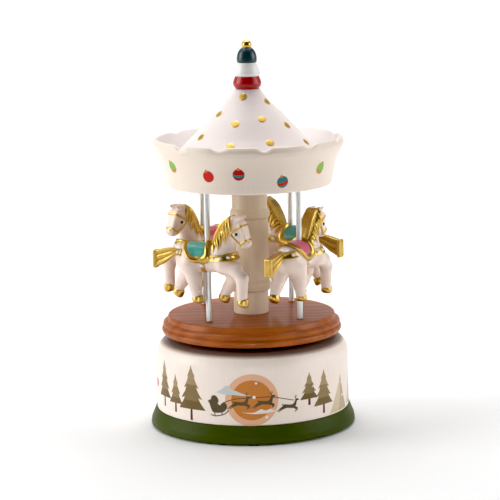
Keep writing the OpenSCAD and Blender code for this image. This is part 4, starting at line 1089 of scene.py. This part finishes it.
DOTS = [(-14.7, 177.1), (61.4, 174.1), (-60.2, 168.2), (22.6, 166.1), (-17.8, 164.1), (60.9, 162.0), (-60.6, 156.7), (22.1, 154.9), (70.4, 152.9), (-17.2, 153.6),
        (-106, 174.6), (-105, 163.0), (-107, 151.8), (105, 167.6), (104.5, 156.4), (139, 175.0), (138, 163.4), (141, 152.6), (178, 168.0), (179, 155.6), (218, 175.4), (217, 164.0), (219, 153.2)]
for i, (a0, z0) in enumerate(DOTS):
    place = on_cone(a0, z0, 0)
    rings, seg = [(0.0, 0.16), (1.1, 0.158), (1.9, 0.14), (2.2, 0.06), (2.32, -0.10)], 32
    V, Fc = [], []
    for ri, (r, off) in enumerate(rings):
        lay = on_cone(a0, z0, off)
        for k in range(seg):
            V.append(lay(r * math.cos(2 * math.pi * k / seg), r * math.sin(2 * math.pi * k / seg)))
    for ri in range(len(rings) - 1):
        for k in range(seg):
            l = (k + 1) % seg
            Fc.append((ri * seg + k, (ri + 1) * seg + k, (ri + 1) * seg + l, ri * seg + l))
    o = new_mesh(f"cone_dot_{i + 1:02d}", V, Fc, M["gold_dot"], "carousel")
    bm = bmesh.new(); bm.from_mesh(o.data)
    bmesh.ops.remove_doubles(bm, verts=bm.verts, dist=1e-7)
    bm.to_mesh(o.data); bm.free()
    o.data.polygons.foreach_set("use_smooth", [True] * len(o.data.polygons))

# ------------------------------------------- carried-over pieces of the frame
INNER = {
    "bottom_cover": "ply", "cover_screws": "steel", "felt_pads": "felt", "movement_bedplate": "nickel", "bedplate_screws": "steel", "spring_housing": "brass",
    "spring_housing_cap": "brass", "housing_nuts": "steel", "mainspring": "blued", "winding_arbor": "steel", "drive_gear": "brass", "clutch_spring": "blued",
    "arbor_bush": "brass", "thrust_washer": "nylon", "hub_flange": "steel", "hub_screws": "steel", "cylinder": "brass", "cylinder_arbor": "steel", "cylinder_pinion": "brass",
    "cylinder_wheel": "brass", "cylinder_bracket_inner": "nickel", "cylinder_bracket_outer": "nickel", "comb": "steel", "comb_screws": "steel", "idler_arbor": "steel",
    "idler_pinion": "brass", "worm_wheel": "nylon", "governor_shaft": "steel", "governor_worm": "nylon", "governor_fly": "nylon", "governor_bracket": "nickel",
    "column_dowel": "beech", "canopy_dowel": "beech", "finial_dowel": "beech",
}
for node, mname in INNER.items():
    o = NODES[node]
    o.data.materials.clear()
    o.data.materials.append(M[mname])

# -------------------------------------------------------------- floor, light
bg = bpy.data.meshes.new("floor")
sw = 3.2
fine = [(-2.6, 0.0), (1.0, 0.0)] + [(1.0 + 0.9 * math.sin(t), 0.9 - 0.9 * math.cos(t)) for t in np.linspace(0.05, math.pi / 2, 24)] + [(1.9, 3.0)]
vs = [(x, y, z) for (y, z) in fine for x in (-sw, sw)]
fs = [(2 * i, 2 * i + 1, 2 * i + 3, 2 * i + 2) for i in range(len(fine) - 1)]
bg.from_pydata(vs, [], fs)
bg.polygons.foreach_set("use_smooth", [True] * len(bg.polygons))
fl = bpy.data.objects.new("floor", bg)
bpy.context.scene.collection.objects.link(fl)
fm = Graph("floor_white")
fn = fm.noise(fm.mapped(), 3.0, 3.0)
fm.out(fm.mix(fn, (0.88, 0.88, 0.88, 1), (0.90, 0.90, 0.90, 1)), 0.75, None, Specular_IOR_Level=0.15)
bg.materials.append(fm.m)


def area(name, loc, target, size, power, color=(1, 1, 1)):
    d = bpy.data.lights.new(name, "AREA")
    d.shape = "RECTANGLE"
    d.size, d.size_y = size
    d.energy = power
    d.color = color
    o = bpy.data.objects.new(name, d)
    bpy.context.scene.collection.objects.link(o)
    o.location = loc
    o.rotation_euler = (Vector(target) - Vector(loc)).to_track_quat("-Z", "Y").to_euler()
    return o


area("left_softbox", (-1.15, -0.10, 0.50), (0, 0, 0.1), (0.8, 0.9), 11.0)
area("right_softbox", (1.15, -0.12, 0.46), (0, 0, 0.1), (0.8, 0.8), 7.6)
area("top_softbox", (-0.05, 0.32, 1.10), (0, 0, 0.1), (1.2, 0.7), 11.4)
area("front_fill", (0.0, -0.95, 0.05), (0, 0, 0.02), (0.9, 0.05), 0.075).data.spread = math.radians(16)
area("backdrop_light", (0, 0.55, 0.95), (0, 1.9, 0.25), (2.6, 0.6), 16)
world = bpy.data.worlds.new("studio")
world.use_nodes = True
world.node_tree.nodes["Background"].inputs["Color"].default_value = (1, 1, 1, 1)
world.node_tree.nodes["Background"].inputs["Strength"].default_value = 0.06
bpy.context.scene.world = world
view = bpy.context.scene.view_settings
view.view_transform = "Standard"
view.use_curve_mapping = True
view.curve_mapping.black_level = (0.012, 0.012, 0.012)
view.curve_mapping.update()

cam_d = bpy.data.cameras.new("camera")
cam_d.lens = 166.75
cam_d.sensor_width = 36
cam = bpy.data.objects.new("camera", cam_d)
bpy.context.scene.collection.objects.link(cam)
pitch, roll = math.radians(9.81), math.radians(1.05)
cam.matrix_world = Matrix.Translation((0, -1.221, 0.305)) @ Matrix.Rotation(math.radians(90) - pitch, 4, "X") @ Matrix.Rotation(-roll, 4, "Z")
cam_d.shift_x = -0.0005
bpy.context.scene.camera = cam
